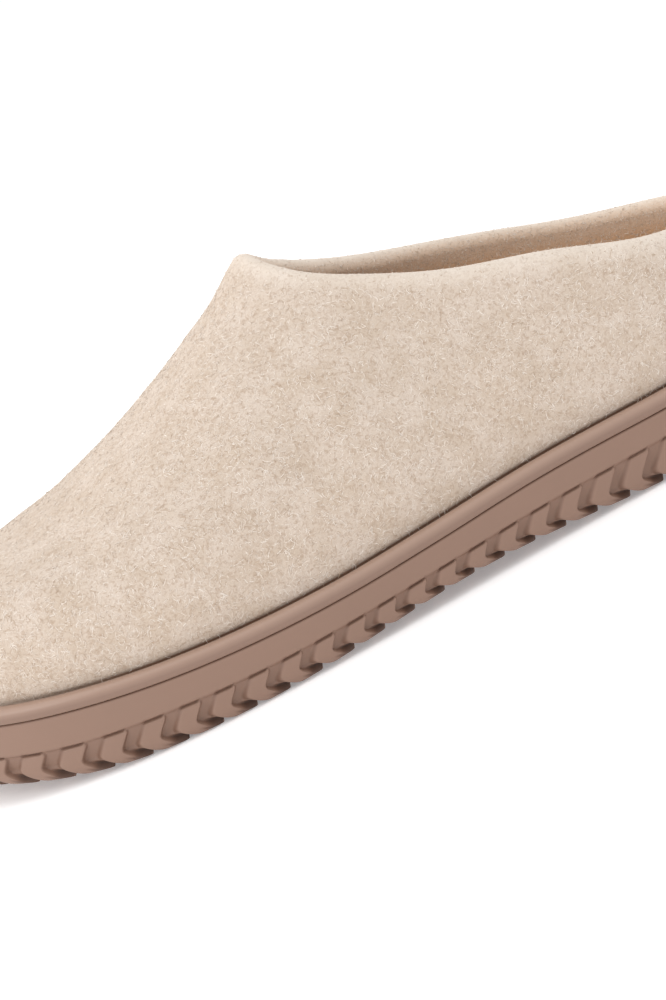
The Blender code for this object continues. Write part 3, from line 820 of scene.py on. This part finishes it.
def loose_wool(name):
    """Single wool fibres: mostly cream and white, one in five tan, matt with a faint sheen."""
    material, tree, shader, _ = start_material(name)
    tone = add_node(tree, "ShaderNodeAttribute", {}, attribute_name="tone").outputs["Fac"]
    lightness = add_node(tree, "ShaderNodeMapRange", {"Value": tone, "From Min": TAN_SHARE})
    tan = add_node(tree, "ShaderNodeMath", {0: tone, 1: TAN_SHARE}, operation="LESS_THAN")
    cream = add_node(
        tree,
        "ShaderNodeMix",
        {0: lightness.outputs["Result"], 6: linear(FIBRE_BODY), 7: linear(FIBRE_WHITE)},
        data_type="RGBA",
    )
    colour = add_node(
        tree,
        "ShaderNodeMix",
        {0: tan.outputs[0], 6: cream.outputs[2], 7: linear(FIBRE_TAN)},
        data_type="RGBA",
    )
    tree.links.new(colour.outputs[2], shader.inputs["Base Color"])
    shader.inputs["Roughness"].default_value = 0.9
    shader.inputs["Specular IOR Level"].default_value = 0.2
    shader.inputs["Sheen Weight"].default_value = 0.6
    shader.inputs["Sheen Tint"].default_value = linear(FIBRE_WHITE)
    return material


wool = loose_wool("loose wool fibre")
for number in range(FIBRE_PIECES):
    fibre_points, fibre_tone = fibre_ribbons(FIBRES_PER_PIECE, FIBRE_SEED + number)
    fibre_mesh = mesh_from_arrays(
        f"felt_fibres_{number + 1}",
        to_metres(fibre_points),
        ribbon_faces(FIBRES_PER_PIECE),
        {"tone": fibre_tone},
    )
    show_piece(fibre_mesh, wool)
    fibre_mesh.shade_flat()

# %% [markdown]
# ## The bead
# Round the rim of the sole runs a raised rubber bead that hides the lower edge of the felt. A curve with a
# round bevel would be too thin at its foot, so its section is a superellipse: fuller than an oval, with a
# flat foot, and falling away again behind. It is carried round the outline under the feather line.

# %% Bead piece
BEAD_COLUMNS = 480
BEAD_POINTS = 28
BEAD_TOP_POWER = 2.2
BEAD_FOOT_POWER = 7.0
BEAD_OUT = 0.2
BEAD_BACK = 2.0
BEAD_HEIGHT = 4.3
BEAD_OVER = 150
# Full painted shade on the bead, away from its painted highlight
BEAD_SHADE = 0.65
# Shares of the bead's height: the line of its painted highlight, how far off the painted shade is full, how
# far off its back counts
BEAD_CROWN = 0.86
BEAD_HIGHLIGHT_REACH = 0.55
BEAD_BEHIND = 0.2


def bead_grid():
    """Superellipse carried round the sole, from its flat foot over the front and the top to the felt.

    Cosine and sine of the angle are raised to two over a power, which fills out the corners of an oval.
    """
    at = place_at(TOE_ARC + GIRTH * np.arange(BEAD_COLUMNS) / BEAD_COLUMNS)
    angle = np.radians(np.linspace(-90, BEAD_OVER, BEAD_POINTS))[:, None]
    power = 2 / np.where(angle > 0, BEAD_TOP_POWER, BEAD_FOOT_POWER)
    front = WELT_WIDTH - BEAD_BACK + BEAD_OUT
    across = np.where(np.cos(angle) > 0, front, -BEAD_BACK) * np.abs(np.cos(angle)) ** power
    above = 0.5 * BEAD_HEIGHT * (1 + np.sign(angle) * np.abs(np.sin(angle)) ** power)
    across = np.concatenate([[[-BEAD_BACK]], across])
    above = np.concatenate([[[0.0]], above])
    x, y = outline(at + 0 * across, across + BEAD_BACK - WELT_WIDTH)
    seat = feather_up(last_at(at)["from_toe"]) - WELT_HEIGHT
    # Painted highlight along the bead's crown: the painted shade grows with the distance from it, and is
    # slight on the back
    from_crown = np.where(across < 0, BEAD_BEHIND, above / BEAD_HEIGHT - BEAD_CROWN)
    painted_shade = BEAD_SHADE * smooth_step(np.abs(from_crown) / BEAD_HIGHLIGHT_REACH) + 0 * at
    return np.stack([x, y, seat + above], -1), painted_shade


# %% [markdown]
# ### Moulded rubber
# The sole is a soft thermoplastic rubber from a steel mould. The mould's fine blasting leaves a satin
# skin, so lights show as broad soft bands. Painted shade darkens the seam, the lines over the lugs, the
# channels, the walls and the feet, and a painted highlight lies along the crown of the bead. The colour
# is even, so only the faintest clouding is added, with a fine grain in the bump. The blasting's own pits
# are finer; the grain is drawn as coarse as it needs to show.

# %% Rubber material
RUBBER_BODY = "#927464"
RUBBER_DULL = "#8B6E5E"
BEAD_BODY = "#AA8E7E"
BEAD_DULL = "#A38777"
# Colours of painted shade: in the channels, and in the deepest corners
RUBBER_PAINTED_SHADE = "#6A4C3C"
RUBBER_PAINTED_DEEP_SHADE = "#2E170B"
# Painted shade where a tint starts and where it is full, its share there and its colour
PAINTED_SHADE_TINTS = ((0.0, 1.0, 0.85, RUBBER_PAINTED_SHADE), (1.0, 2.0, 0.9, RUBBER_PAINTED_DEEP_SHADE))
RUBBER_CLOUD = 30.0
RUBBER_GRAIN = 0.45
RUBBER_BUMP = 0.05
BEAD_ROUGHNESS = 0.36
SOLE_ROUGHNESS = 0.55
GLOSS_SPREAD = 0.06


def moulded_rubber(name, body, dull, roughness):
    """Satin moulded rubber: one colour with faint clouds, uneven gloss and the grain of the mould.

    Where the piece has a painted shade value, its colour darkens as painted shade: up to 1 toward the
    painted shade of the channels, and from there to 2 toward the painted shade of the deepest corners.
    """
    material, tree, shader, place = start_material(name)
    cloud = add_node(
        tree, "ShaderNodeTexNoise", {"Vector": place, "Scale": per_metre(RUBBER_CLOUD), "Detail": 4.0}
    )
    grain = add_node(
        tree, "ShaderNodeTexNoise", {"Vector": place, "Scale": per_metre(RUBBER_GRAIN), "Detail": 2.0}
    )
    colour = add_node(
        tree,
        "ShaderNodeMix",
        {0: cloud.outputs["Fac"], 6: linear(dull), 7: linear(body)},
        data_type="RGBA",
    )
    painted_shade = add_node(tree, "ShaderNodeAttribute", {}, attribute_name="painted_shade").outputs["Fac"]
    for start, full, share, tint in PAINTED_SHADE_TINTS:
        amount = add_node(
            tree,
            "ShaderNodeMapRange",
            {"Value": painted_shade, "From Min": start, "From Max": full, "To Max": share},
        )
        colour = add_node(
            tree,
            "ShaderNodeMix",
            {0: amount.outputs["Result"], 6: colour.outputs[2], 7: linear(tint)},
            data_type="RGBA",
        )
    tree.links.new(colour.outputs[2], shader.inputs["Base Color"])
    gloss = add_node(
        tree,
        "ShaderNodeMapRange",
        {
            "Value": cloud.outputs["Fac"],
            "To Min": roughness - GLOSS_SPREAD,
            "To Max": roughness + GLOSS_SPREAD,
        },
    )
    tree.links.new(gloss.outputs["Result"], shader.inputs["Roughness"])
    bump = add_node(
        tree,
        "ShaderNodeBump",
        {"Height": grain.outputs["Fac"], "Strength": 0.15, "Distance": RUBBER_BUMP * MM},
    )
    tree.links.new(bump.outputs["Normal"], shader.inputs["Normal"])
    shader.inputs["IOR"].default_value = 1.5
    return material


bead_rubber = moulded_rubber("moulded bead rubber", BEAD_BODY, BEAD_DULL, BEAD_ROUGHNESS)
bead, bead_painted_shade = bead_grid()
bead_faces = grid_faces(*bead.shape[:2], True, True, 0)
bead_mesh = mesh_from_arrays(
    "welt_bead", to_metres(bead.reshape(-1, 3)), bead_faces, {"painted_shade": bead_painted_shade}
)
close_skin(bead_mesh)
show_piece(bead_mesh, bead_rubber, "welt")

# %% [markdown]
# ## The outsole
# The sole is a cup: floor, wall, a smooth band under the bead, and below it the lugs, which lean, turn at
# the edge and run on under the foot as zigzag bars. Cutting each channel with a Boolean would leave sharp,
# ragged edges. Instead the columns of the grid follow the channels: a column keeps its place within its
# lug from the band to the underside, and each row moves along the sole by a sweep. Each column then only
# has to know how far into the channel it lies.

# %% Lug pattern
# Millimetres; shares are of a lug's pitch or of the way down, and shades are values of painted shade
LUGS_PER_SIDE = 31
# Steps along one lug: half its face, its heel wall, the channel, its toe wall, half the next face
LUG_STEPS = (7, 5, 5, 6, 4)
LUG_FACE_SHARE = 0.48
TOE_WALL_SHARE = 0.20
HEEL_WALL_SHARE = 0.08
LUG_LEAN = 0.92
LEAN_AT_TOE = 0.75
LEAN_GROWTH = 0.4
LUG_TURN = 3.8
LUG_TURN_DIP = 1.0
LUG_SWEEP = 7.3
LUG_PHASE = -2.8
END_TAPER = 0.10
LUG_CORNER = 1.3
LUG_LINE = 0.6
LUG_LINE_DEPTH = 1.0
LINE_SOFTNESS = 0.55
CHANNEL_START = 0.9
CHANNEL_TOP = 0.25
CHANNEL_DEPTH = 1.8
CHANNEL_FOOT_DEPTH = 1.9
CHANNEL_FALL = 0.7
EDGE_BEVEL = 3.4
FACE_PROUD = 0.3
EDGE_LENGTH = 4.6
SEAM_SHADE = 0.8
CHANNEL_SHADE = 0.2
TOE_WALL_SHADE = 0.45
HEEL_WALL_SHADE = 0.5
FOOT_SHADE = 1.9
FOOT_END_SHADE = 1.4
# Where the painted shade at the end of a lug's foot starts and how far it takes to fill: down the edge,
# across the lug
FOOT_END_DOWN = (0.25, 0.3)
FOOT_END_ACROSS = (-0.02, 0.15)
TREAD_DEPTH = 2.2
TREAD_ZIGZAG = 3.0
TREAD_BENDS = 6
TREAD_FULL_WIDTH = 60.0
TREAD_SLOPE = 0.09
TURN_ROUND = 0.7
RIM_ROUND = 0.5
RIM_POINTS = 5
RIM_LEDGE = 1.2
BAND_FOOT = (1.0, 0.3)
SIDE_ROWS = 18
CLOSE_ROWS = 10
CLOSE_SHARE = 0.3
EDGE_ROWS = 12
TREAD_ROWS = 24

face_end = 0.5 * LUG_FACE_SHARE
heel_side = face_end + HEEL_WALL_SHARE
toe_side = 1 - face_end - TOE_WALL_SHARE
stops = (0, face_end, heel_side, toe_side, 1 - face_end, 1)
one_lug = np.concatenate(
    [
        np.linspace(start, end, steps, endpoint=False)
        for start, end, steps in zip(stops, stops[1:], LUG_STEPS)
    ]
)
lug_place = np.append((np.arange(LUGS_PER_SIDE)[:, None] + one_lug).ravel(), LUGS_PER_SIDE)
lug_share = lug_place / LUGS_PER_SIDE
from_lug = lug_share * LUGS_PER_SIDE - np.round(lug_share * LUGS_PER_SIDE)
wall_share = np.where(from_lug > 0, HEEL_WALL_SHARE, TOE_WALL_SHARE)
lug_pitch = (HEEL_ARC - TOE_ARC) / LUGS_PER_SIDE
end_taper = np.clip(lug_share / END_TAPER, 0, 1) * np.clip((1 - lug_share) / END_TAPER, 0, 1)
lug_shift = through(LUG_SHIFTS, 100 * lug_share)
side_count = len(lug_share)
print(f"{LUGS_PER_SIDE} lugs a side, {lug_pitch:.1f} mm apart, {side_count} columns a side")


def both_sides(values):
    """Values of the columns round the whole sole: toe to heel, then back along the inner side."""
    return np.concatenate([values, values[..., -2:0:-1]], axis=-1)


ring_lug = both_sides(from_lug)
ring_wall = both_sides(wall_share)


def inner_side(ring):
    """Points of a ring round the sole that lie on its inner side, from toe to heel."""
    return np.concatenate([ring[:1], ring[: side_count - 2 : -1]])


def ring_places(sweep):
    """Places of the columns when each moves toward the heel by a sweep, less near toe and heel."""
    move = sweep * end_taper + lug_shift
    lateral, medial = side_arcs(lug_share)
    return place_at(np.concatenate([lateral + move, (medial - move)[..., -2:0:-1]], axis=-1))


def raised(narrower):
    """1 on a lug's face, 0 in the channel, smooth down the wall; the heel side may be made narrower."""
    cut = narrower / lug_pitch * (ring_lug > 0)
    return 1 - smooth_step((np.abs(ring_lug) - face_end + cut) / ring_wall)


def wall(face, toward_heel):
    """1 halfway down a lug's wall on one side, 0 on the face and in the channel."""
    return 4 * face * (1 - face) * ((ring_lug > 0) == toward_heel)


# %% Rows of the sole's side


def turn_above_ground(from_toe):
    """Height of the turn of the lugs over their bottoms, which is less in the middle of the arch."""
    return LUG_TURN - LUG_TURN_DIP * arch_share(from_toe)


def swept(above_turn):
    """Sweep of a row by its height above the turn: two straight leans joined by a small hyperbola.

    The upper lean grows from the toe to the middle of the sole.
    """
    growth = LEAN_AT_TOE + (1 - LEAN_AT_TOE) * smooth_step(lug_share / LEAN_GROWTH)
    upper = LUG_LEAN * growth
    lower = LUG_SWEEP / EDGE_LENGTH
    bow = np.hypot(above_turn, TURN_ROUND) - TURN_ROUND
    return LUG_PHASE + 0.5 * (upper - lower) * above_turn + 0.5 * (upper + lower) * bow


def side_grid():
    """Rows from the cup's floor over the rim and down the band, the lugs and the rounded lower edge.

    A lug's face runs straight down to the turn and then follows a quarter of an ellipse under the sole.
    A channel starts at the band and sinks along the face's normal. The row height mixes the two. The
    second result is painted shade: in the seam under the bead, along the line over each lug, in the
    channels, on the lug walls and on the feet.
    """
    turn_toe = last_at(ring_places(swept(0.0)))["from_toe"][:side_count]
    turn_low = ground_up(turn_toe) + turn_above_ground(turn_toe)
    tall = through(LUG_TOPS, 100 * turn_toe / SOLE_LENGTH) - turn_low
    top = ring_places(swept(tall))
    toe = last_at(top)["from_toe"]
    seat = feather_up(toe) - WELT_HEIGHT
    band = ground_up(toe) + turn_above_ground(toe) + both_sides(tall)
    rows = []
    painted_shade = []
    edge = np.radians(np.linspace(90, 0, RIM_POINTS))
    rim = [(-WELT_WIDTH, feather_up(toe) - CUP_DEPTH), (-WELT_WIDTH, seat), (-RIM_LEDGE, seat)]
    rim += [(RIM_ROUND * (math.cos(t) - 1), seat + RIM_ROUND * (math.sin(t) - 1)) for t in edge]
    rim += [(0.0, 0.5 * (seat + band))] + [(0.0, band + above) for above in BAND_FOOT]
    for offset, up in rim:
        x, y = outline(top, offset)
        rows.append(np.stack([x, y, up + 0 * x], -1))
        # Painted shade in the seam under the bead
        painted_shade.append(0 * x + SEAM_SHADE * (offset < 0))

    upper = np.linspace(0, CLOSE_SHARE, CLOSE_ROWS + 1)[:-1]
    lower = np.linspace(CLOSE_SHARE, 1, SIDE_ROWS - CLOSE_ROWS)
    for share in np.concatenate([upper, lower]):
        at = ring_places(swept((1 - share) * tall))
        toe = last_at(at)["from_toe"]
        down = share * both_sides(tall)
        corner = np.clip(1 - (down - LUG_LINE) / LUG_CORNER, 0, 1)
        face = raised(LUG_CORNER * (1 - np.sqrt(1 - corner**2)))
        trace = np.exp(-(((down - LUG_LINE) / (LINE_SOFTNESS * LUG_LINE)) ** 2))
        line = LUG_LINE_DEPTH * trace * raised(LUG_CORNER)
        sinking = CHANNEL_TOP + (1 - CHANNEL_TOP) * share
        channel = -CHANNEL_DEPTH * smooth_step(down / CHANNEL_START) * sinking
        offset = face * FACE_PROUD * share + (1 - face) * channel - line
        x, y = outline(at, offset)
        up = ground_up(toe) + turn_above_ground(toe) + both_sides(tall) - down
        rows.append(np.stack([x, y, up], -1))
        # Painted shade along the line over each lug, in the channels and on the walls
        edges = TOE_WALL_SHADE * wall(face, False) + HEEL_WALL_SHADE * wall(face, True)
        painted_shade.append(SEAM_SHADE * line / LUG_LINE_DEPTH + CHANNEL_SHADE * (1 - face) + edges)

    face = raised(0.0)
    for share in np.linspace(0, 1, EDGE_ROWS)[1:]:
        angle = 0.5 * np.pi * share
        at = ring_places(swept(-share * EDGE_LENGTH))
        deeper = (CHANNEL_FOOT_DEPTH - CHANNEL_DEPTH) * smooth_step(share / CHANNEL_FALL)
        depth = (1 - face) * (CHANNEL_DEPTH + deeper)
        offset = (EDGE_BEVEL + FACE_PROUD - depth) * math.cos(angle) - EDGE_BEVEL
        x, y = outline(at, offset)
        up = ground_up(x) + turn_above_ground(x) * (1 - math.sin(angle)) + depth * math.sin(angle)
        rows.append(np.stack([x, y, up], -1))
        # Painted shade in the channels, under the feet and at the feet's ends, and on the toe walls
        under = (FOOT_SHADE - CHANNEL_SHADE) * smooth_step(2 * share) * (ring_lug > 0)
        start, fade = FOOT_END_DOWN
        foot_end = smooth_step((share - start) / fade)
        start, fade = FOOT_END_ACROSS
        foot_end = foot_end * smooth_step((ring_lug - start) / fade)
        shade = (1 - face) * (CHANNEL_SHADE + under) + face * FOOT_END_SHADE * foot_end
        painted_shade.append(shade + TOE_WALL_SHADE * wall(face, False))
    return np.array(rows), np.array(painted_shade)


def tread_grid(foot):
    """Rows across the underside, from the outer foot edge to the inner: zigzag bars and channels."""
    lateral = foot[:side_count]
    medial = inner_side(foot)
    share = np.linspace(0, 1, TREAD_ROWS + 1)[:, None]
    points = (1 - share[..., None]) * lateral + share[..., None] * medial
    width = np.linalg.norm(medial - lateral, axis=1)
    bend = 1 - np.abs(np.mod(share * TREAD_BENDS, 2) - 1)
    points[1:-1, :, 0] += (TREAD_ZIGZAG * bend * np.clip(width / TREAD_FULL_WIDTH, 0, 1))[1:-1]
    deepening = smooth_step(np.minimum(share, 1 - share) / TREAD_SLOPE)
    depth = CHANNEL_FOOT_DEPTH + (TREAD_DEPTH - CHANNEL_FOOT_DEPTH) * deepening
    low = 1 - raised(0.0)[:side_count]
    points[1:-1, :, 2] = (ground_up(points[..., 0]) + depth * low)[1:-1]
    # Painted shade in the channels of the underside
    return points, low + 0 * depth


# %% Outsole piece
sole_rubber = moulded_rubber("moulded sole rubber", RUBBER_BODY, RUBBER_DULL, SOLE_ROUGHNESS)
sole_side, side_painted_shade = side_grid()
sole_tread, tread_painted_shade = tread_grid(sole_side[-1])
cup_floor = np.stack([sole_side[0][:side_count], inner_side(sole_side[0])])
sole_points = []
sole_faces = []
for grid, wrap in ((sole_side, True), (sole_tread, False), (cup_floor, False)):
    first = sum(len(points) for points in sole_points)
    sole_faces.append(grid_faces(*grid.shape[:2], False, wrap, first))
    sole_points.append(grid.reshape(-1, 3))
cup_painted_shade = np.zeros(cup_floor[..., 0].size)
sole_painted_shade = np.concatenate([side_painted_shade.ravel(), tread_painted_shade.ravel(), cup_painted_shade])
sole_mesh = mesh_from_arrays(
    "outsole_rubber",
    to_metres(np.concatenate(sole_points)),
    np.concatenate(sole_faces),
    {"painted_shade": sole_painted_shade},
)
close_skin(sole_mesh)
show_piece(sole_mesh, sole_rubber, "outsole")

# %% [markdown]
# ## The footbed
# Inside lies a loose felt footbed. It is a flat cushion with rounded edges, a little dished under the heel
# and the ball. Its section is a rounded slab from the outer to the inner side, carried from toe to heel.

# %% Footbed piece
BED_SECTIONS = 150
BED_POINTS = 64
BED_POWER = 8.0
BED_DISH = 1.2
BED_DISH_POWER = 0.5
BED_END_WIDTH = 20.0
BED_END_POWER = 0.3


def footbed_grid():
    """Superellipse sections from side to side, one for each pair of places from toe to heel."""
    share = 0.5 - 0.5 * np.cos(np.pi * np.linspace(0, 1, BED_SECTIONS))
    inside = -WELT_WIDTH - FELT - 2 * GAP
    outer, inner = (np.stack(outline(place_at(arc), inside), -1) for arc in side_arcs(share))
    angle = 2 * np.pi * (np.arange(BED_POINTS)[:, None] + 0.5) / BED_POINTS
    across = np.sign(np.cos(angle)) * np.abs(np.cos(angle)) ** (2 / BED_POWER)
    above = np.sign(np.sin(angle)) * np.abs(np.sin(angle)) ** (2 / BED_POWER)
    plan = 0.5 * (outer + inner) + 0.5 * across[..., None] * (inner - outer)
    wide = np.clip(np.linalg.norm(inner - outer, axis=1) / BED_END_WIDTH, 0, 1)
    thick = INSOLE_THICKNESS * wide**BED_END_POWER
    floor = feather_up(plan[..., 0]) - CUP_DEPTH + GAP
    dish = BED_DISH * (1 - across**2) * np.sin(np.pi * share) ** BED_DISH_POWER * (above > 0)
    return np.concatenate([plan, (floor + 0.5 * thick * (1 + above) - dish)[..., None]], -1)


BED_LIGHT = "#D9C7B2"
BED_FELT = "#CBB69E"
BED_TAN = "#AE947A"
footbed_felt = pressed_wool_felt("needled footbed felt", BED_LIGHT, BED_FELT, BED_TAN)
footbed = footbed_grid()
footbed_faces = grid_faces(*footbed.shape[:2], True, False, 0)
footbed_mesh = mesh_from_arrays("insole_felt", to_metres(footbed.reshape(-1, 3)), footbed_faces)
close_skin(footbed_mesh)
show_piece(footbed_mesh, footbed_felt, "insole")

# %% [markdown]
# ## Floor, light and camera
# The shoe stands on a white floor under large soft lamps. A big floor with a faint painted glow, which
# lightens the shadows on it, and a pale world give the even light. Wide lamps above, before the toe and on
# the far side give the felt its roundness and its pale edge, and a weak one fills in low down. The camera
# looks from a little above at the outer side, turned toward the toe, and is rolled so that the shoe lies as
# it does in the picture. Its lens is long, as for product shots, so shapes are hardly foreshortened.

# %% Floor
FLOOR_SIZE = 8.0
FLOOR_CLOUD = 400.0
FLOOR_WHITE = "#FAFAFA"
FLOOR_SHADE = "#F6F5F4"
# Painted glow of the floor, which lightens the shadows on it
FLOOR_PAINTED_GLOW = "#FCFCFF"
FLOOR_PAINTED_GLOW_STRENGTH = 0.25


def white_table():
    """Matt white floor: nearly even, faintly clouded, with a faint painted glow that lightens the shadows
    on it.
    """
    material, tree, shader, place = start_material("white floor with painted glow")
    cloud = add_node(tree, "ShaderNodeTexNoise", {"Vector": place, "Scale": per_metre(FLOOR_CLOUD)})
    colour = add_node(
        tree,
        "ShaderNodeMix",
        {0: cloud.outputs["Fac"], 6: linear(FLOOR_SHADE), 7: linear(FLOOR_WHITE)},
        data_type="RGBA",
    )
    tree.links.new(colour.outputs[2], shader.inputs["Base Color"])
    shader.inputs["Roughness"].default_value = 0.8
    shader.inputs["Specular IOR Level"].default_value = 0.1
    shader.inputs["Emission Color"].default_value = linear(FLOOR_PAINTED_GLOW)
    shader.inputs["Emission Strength"].default_value = FLOOR_PAINTED_GLOW_STRENGTH
    return material


half_floor = 0.5 * FLOOR_SIZE
floor_points = np.array([[-1, -1, 0], [1, -1, 0], [1, 1, 0], [-1, 1, 0]]) * half_floor
floor_mesh = mesh_from_arrays("floor", floor_points, np.array([[0, 1, 2, 3]]))
floor_mesh.materials.append(white_table())
floor = bpy.data.objects.new("floor", floor_mesh)
bpy.context.scene.collection.objects.link(floor)
print(f"floor {FLOOR_SIZE:.0f} m wide")

# %% Light
WORLD_WHITE = "#FFFFFF"
WORLD_STRENGTH = 0.80
# Place in metres, the point aimed at, side of the lamp in metres, watts
LAMPS = {
    "overhead softbox": ((-0.15, -0.25, 1.5), (0.0, 0.0, 0.03), 1.4, 5.4),
    "toe softbox": ((-1.3, -0.7, 0.9), (0.0, 0.0, 0.04), 1.0, 7.0),
    "back softbox": ((-1.1, 0.9, 0.7), (0.0, 0.0, 0.05), 1.0, 6.0),
    "low fill": ((0.7, -1.4, 0.35), (0.05, 0.0, 0.02), 1.0, 0.6),
}

world = bpy.data.worlds.new("pale studio")
world.use_nodes = True
background = world.node_tree.nodes["Background"]
background.inputs["Color"].default_value = linear(WORLD_WHITE)
background.inputs["Strength"].default_value = WORLD_STRENGTH
bpy.context.scene.world = world
for name, (place, aim, side, watts) in LAMPS.items():
    lamp = bpy.data.lights.new(name, "AREA")
    lamp.size = side
    lamp.energy = watts
    holder = bpy.data.objects.new(name, lamp)
    holder.location = place
    holder.rotation_euler = (Vector(aim) - Vector(place)).to_track_quat("-Z", "Y").to_euler()
    bpy.context.scene.collection.objects.link(holder)
bpy.context.scene.view_settings.view_transform = "Standard"
print("lamps:", ", ".join(LAMPS))

# %% Camera
CAMERA_TURN = 12.0
CAMERA_RISE = 12.5
CAMERA_ROLL = 24.4
CAMERA_DISTANCE = 1.1
CAMERA_AIM = (-0.003, 0.0, 0.0280)
MM_PER_PIXEL = 0.265
IMAGE_HEIGHT = 1000
SENSOR = 36.0

turn = math.radians(CAMERA_TURN)
rise = math.radians(CAMERA_RISE)
roll = math.radians(CAMERA_ROLL)
back = Vector((-math.sin(turn) * math.cos(rise), -math.cos(turn) * math.cos(rise), math.sin(rise)))
level = Vector((math.cos(turn), -math.sin(turn), 0.0))
upright = back.cross(level)
right = math.cos(roll) * level - math.sin(roll) * upright
up = math.sin(roll) * level + math.cos(roll) * upright
camera_data = bpy.data.cameras.new("camera")
camera_data.sensor_width = SENSOR
camera_data.lens = SENSOR * CAMERA_DISTANCE / (MM_PER_PIXEL * MM) / IMAGE_HEIGHT
camera = bpy.data.objects.new("camera", camera_data)
camera.matrix_world = Matrix.Translation(Vector(CAMERA_AIM) + back * CAMERA_DISTANCE) @ (
    Matrix((right, up, back)).transposed().to_4x4()
)
bpy.context.scene.collection.objects.link(camera)
bpy.context.scene.camera = camera
print(f"lens {camera_data.lens:.1f} mm")
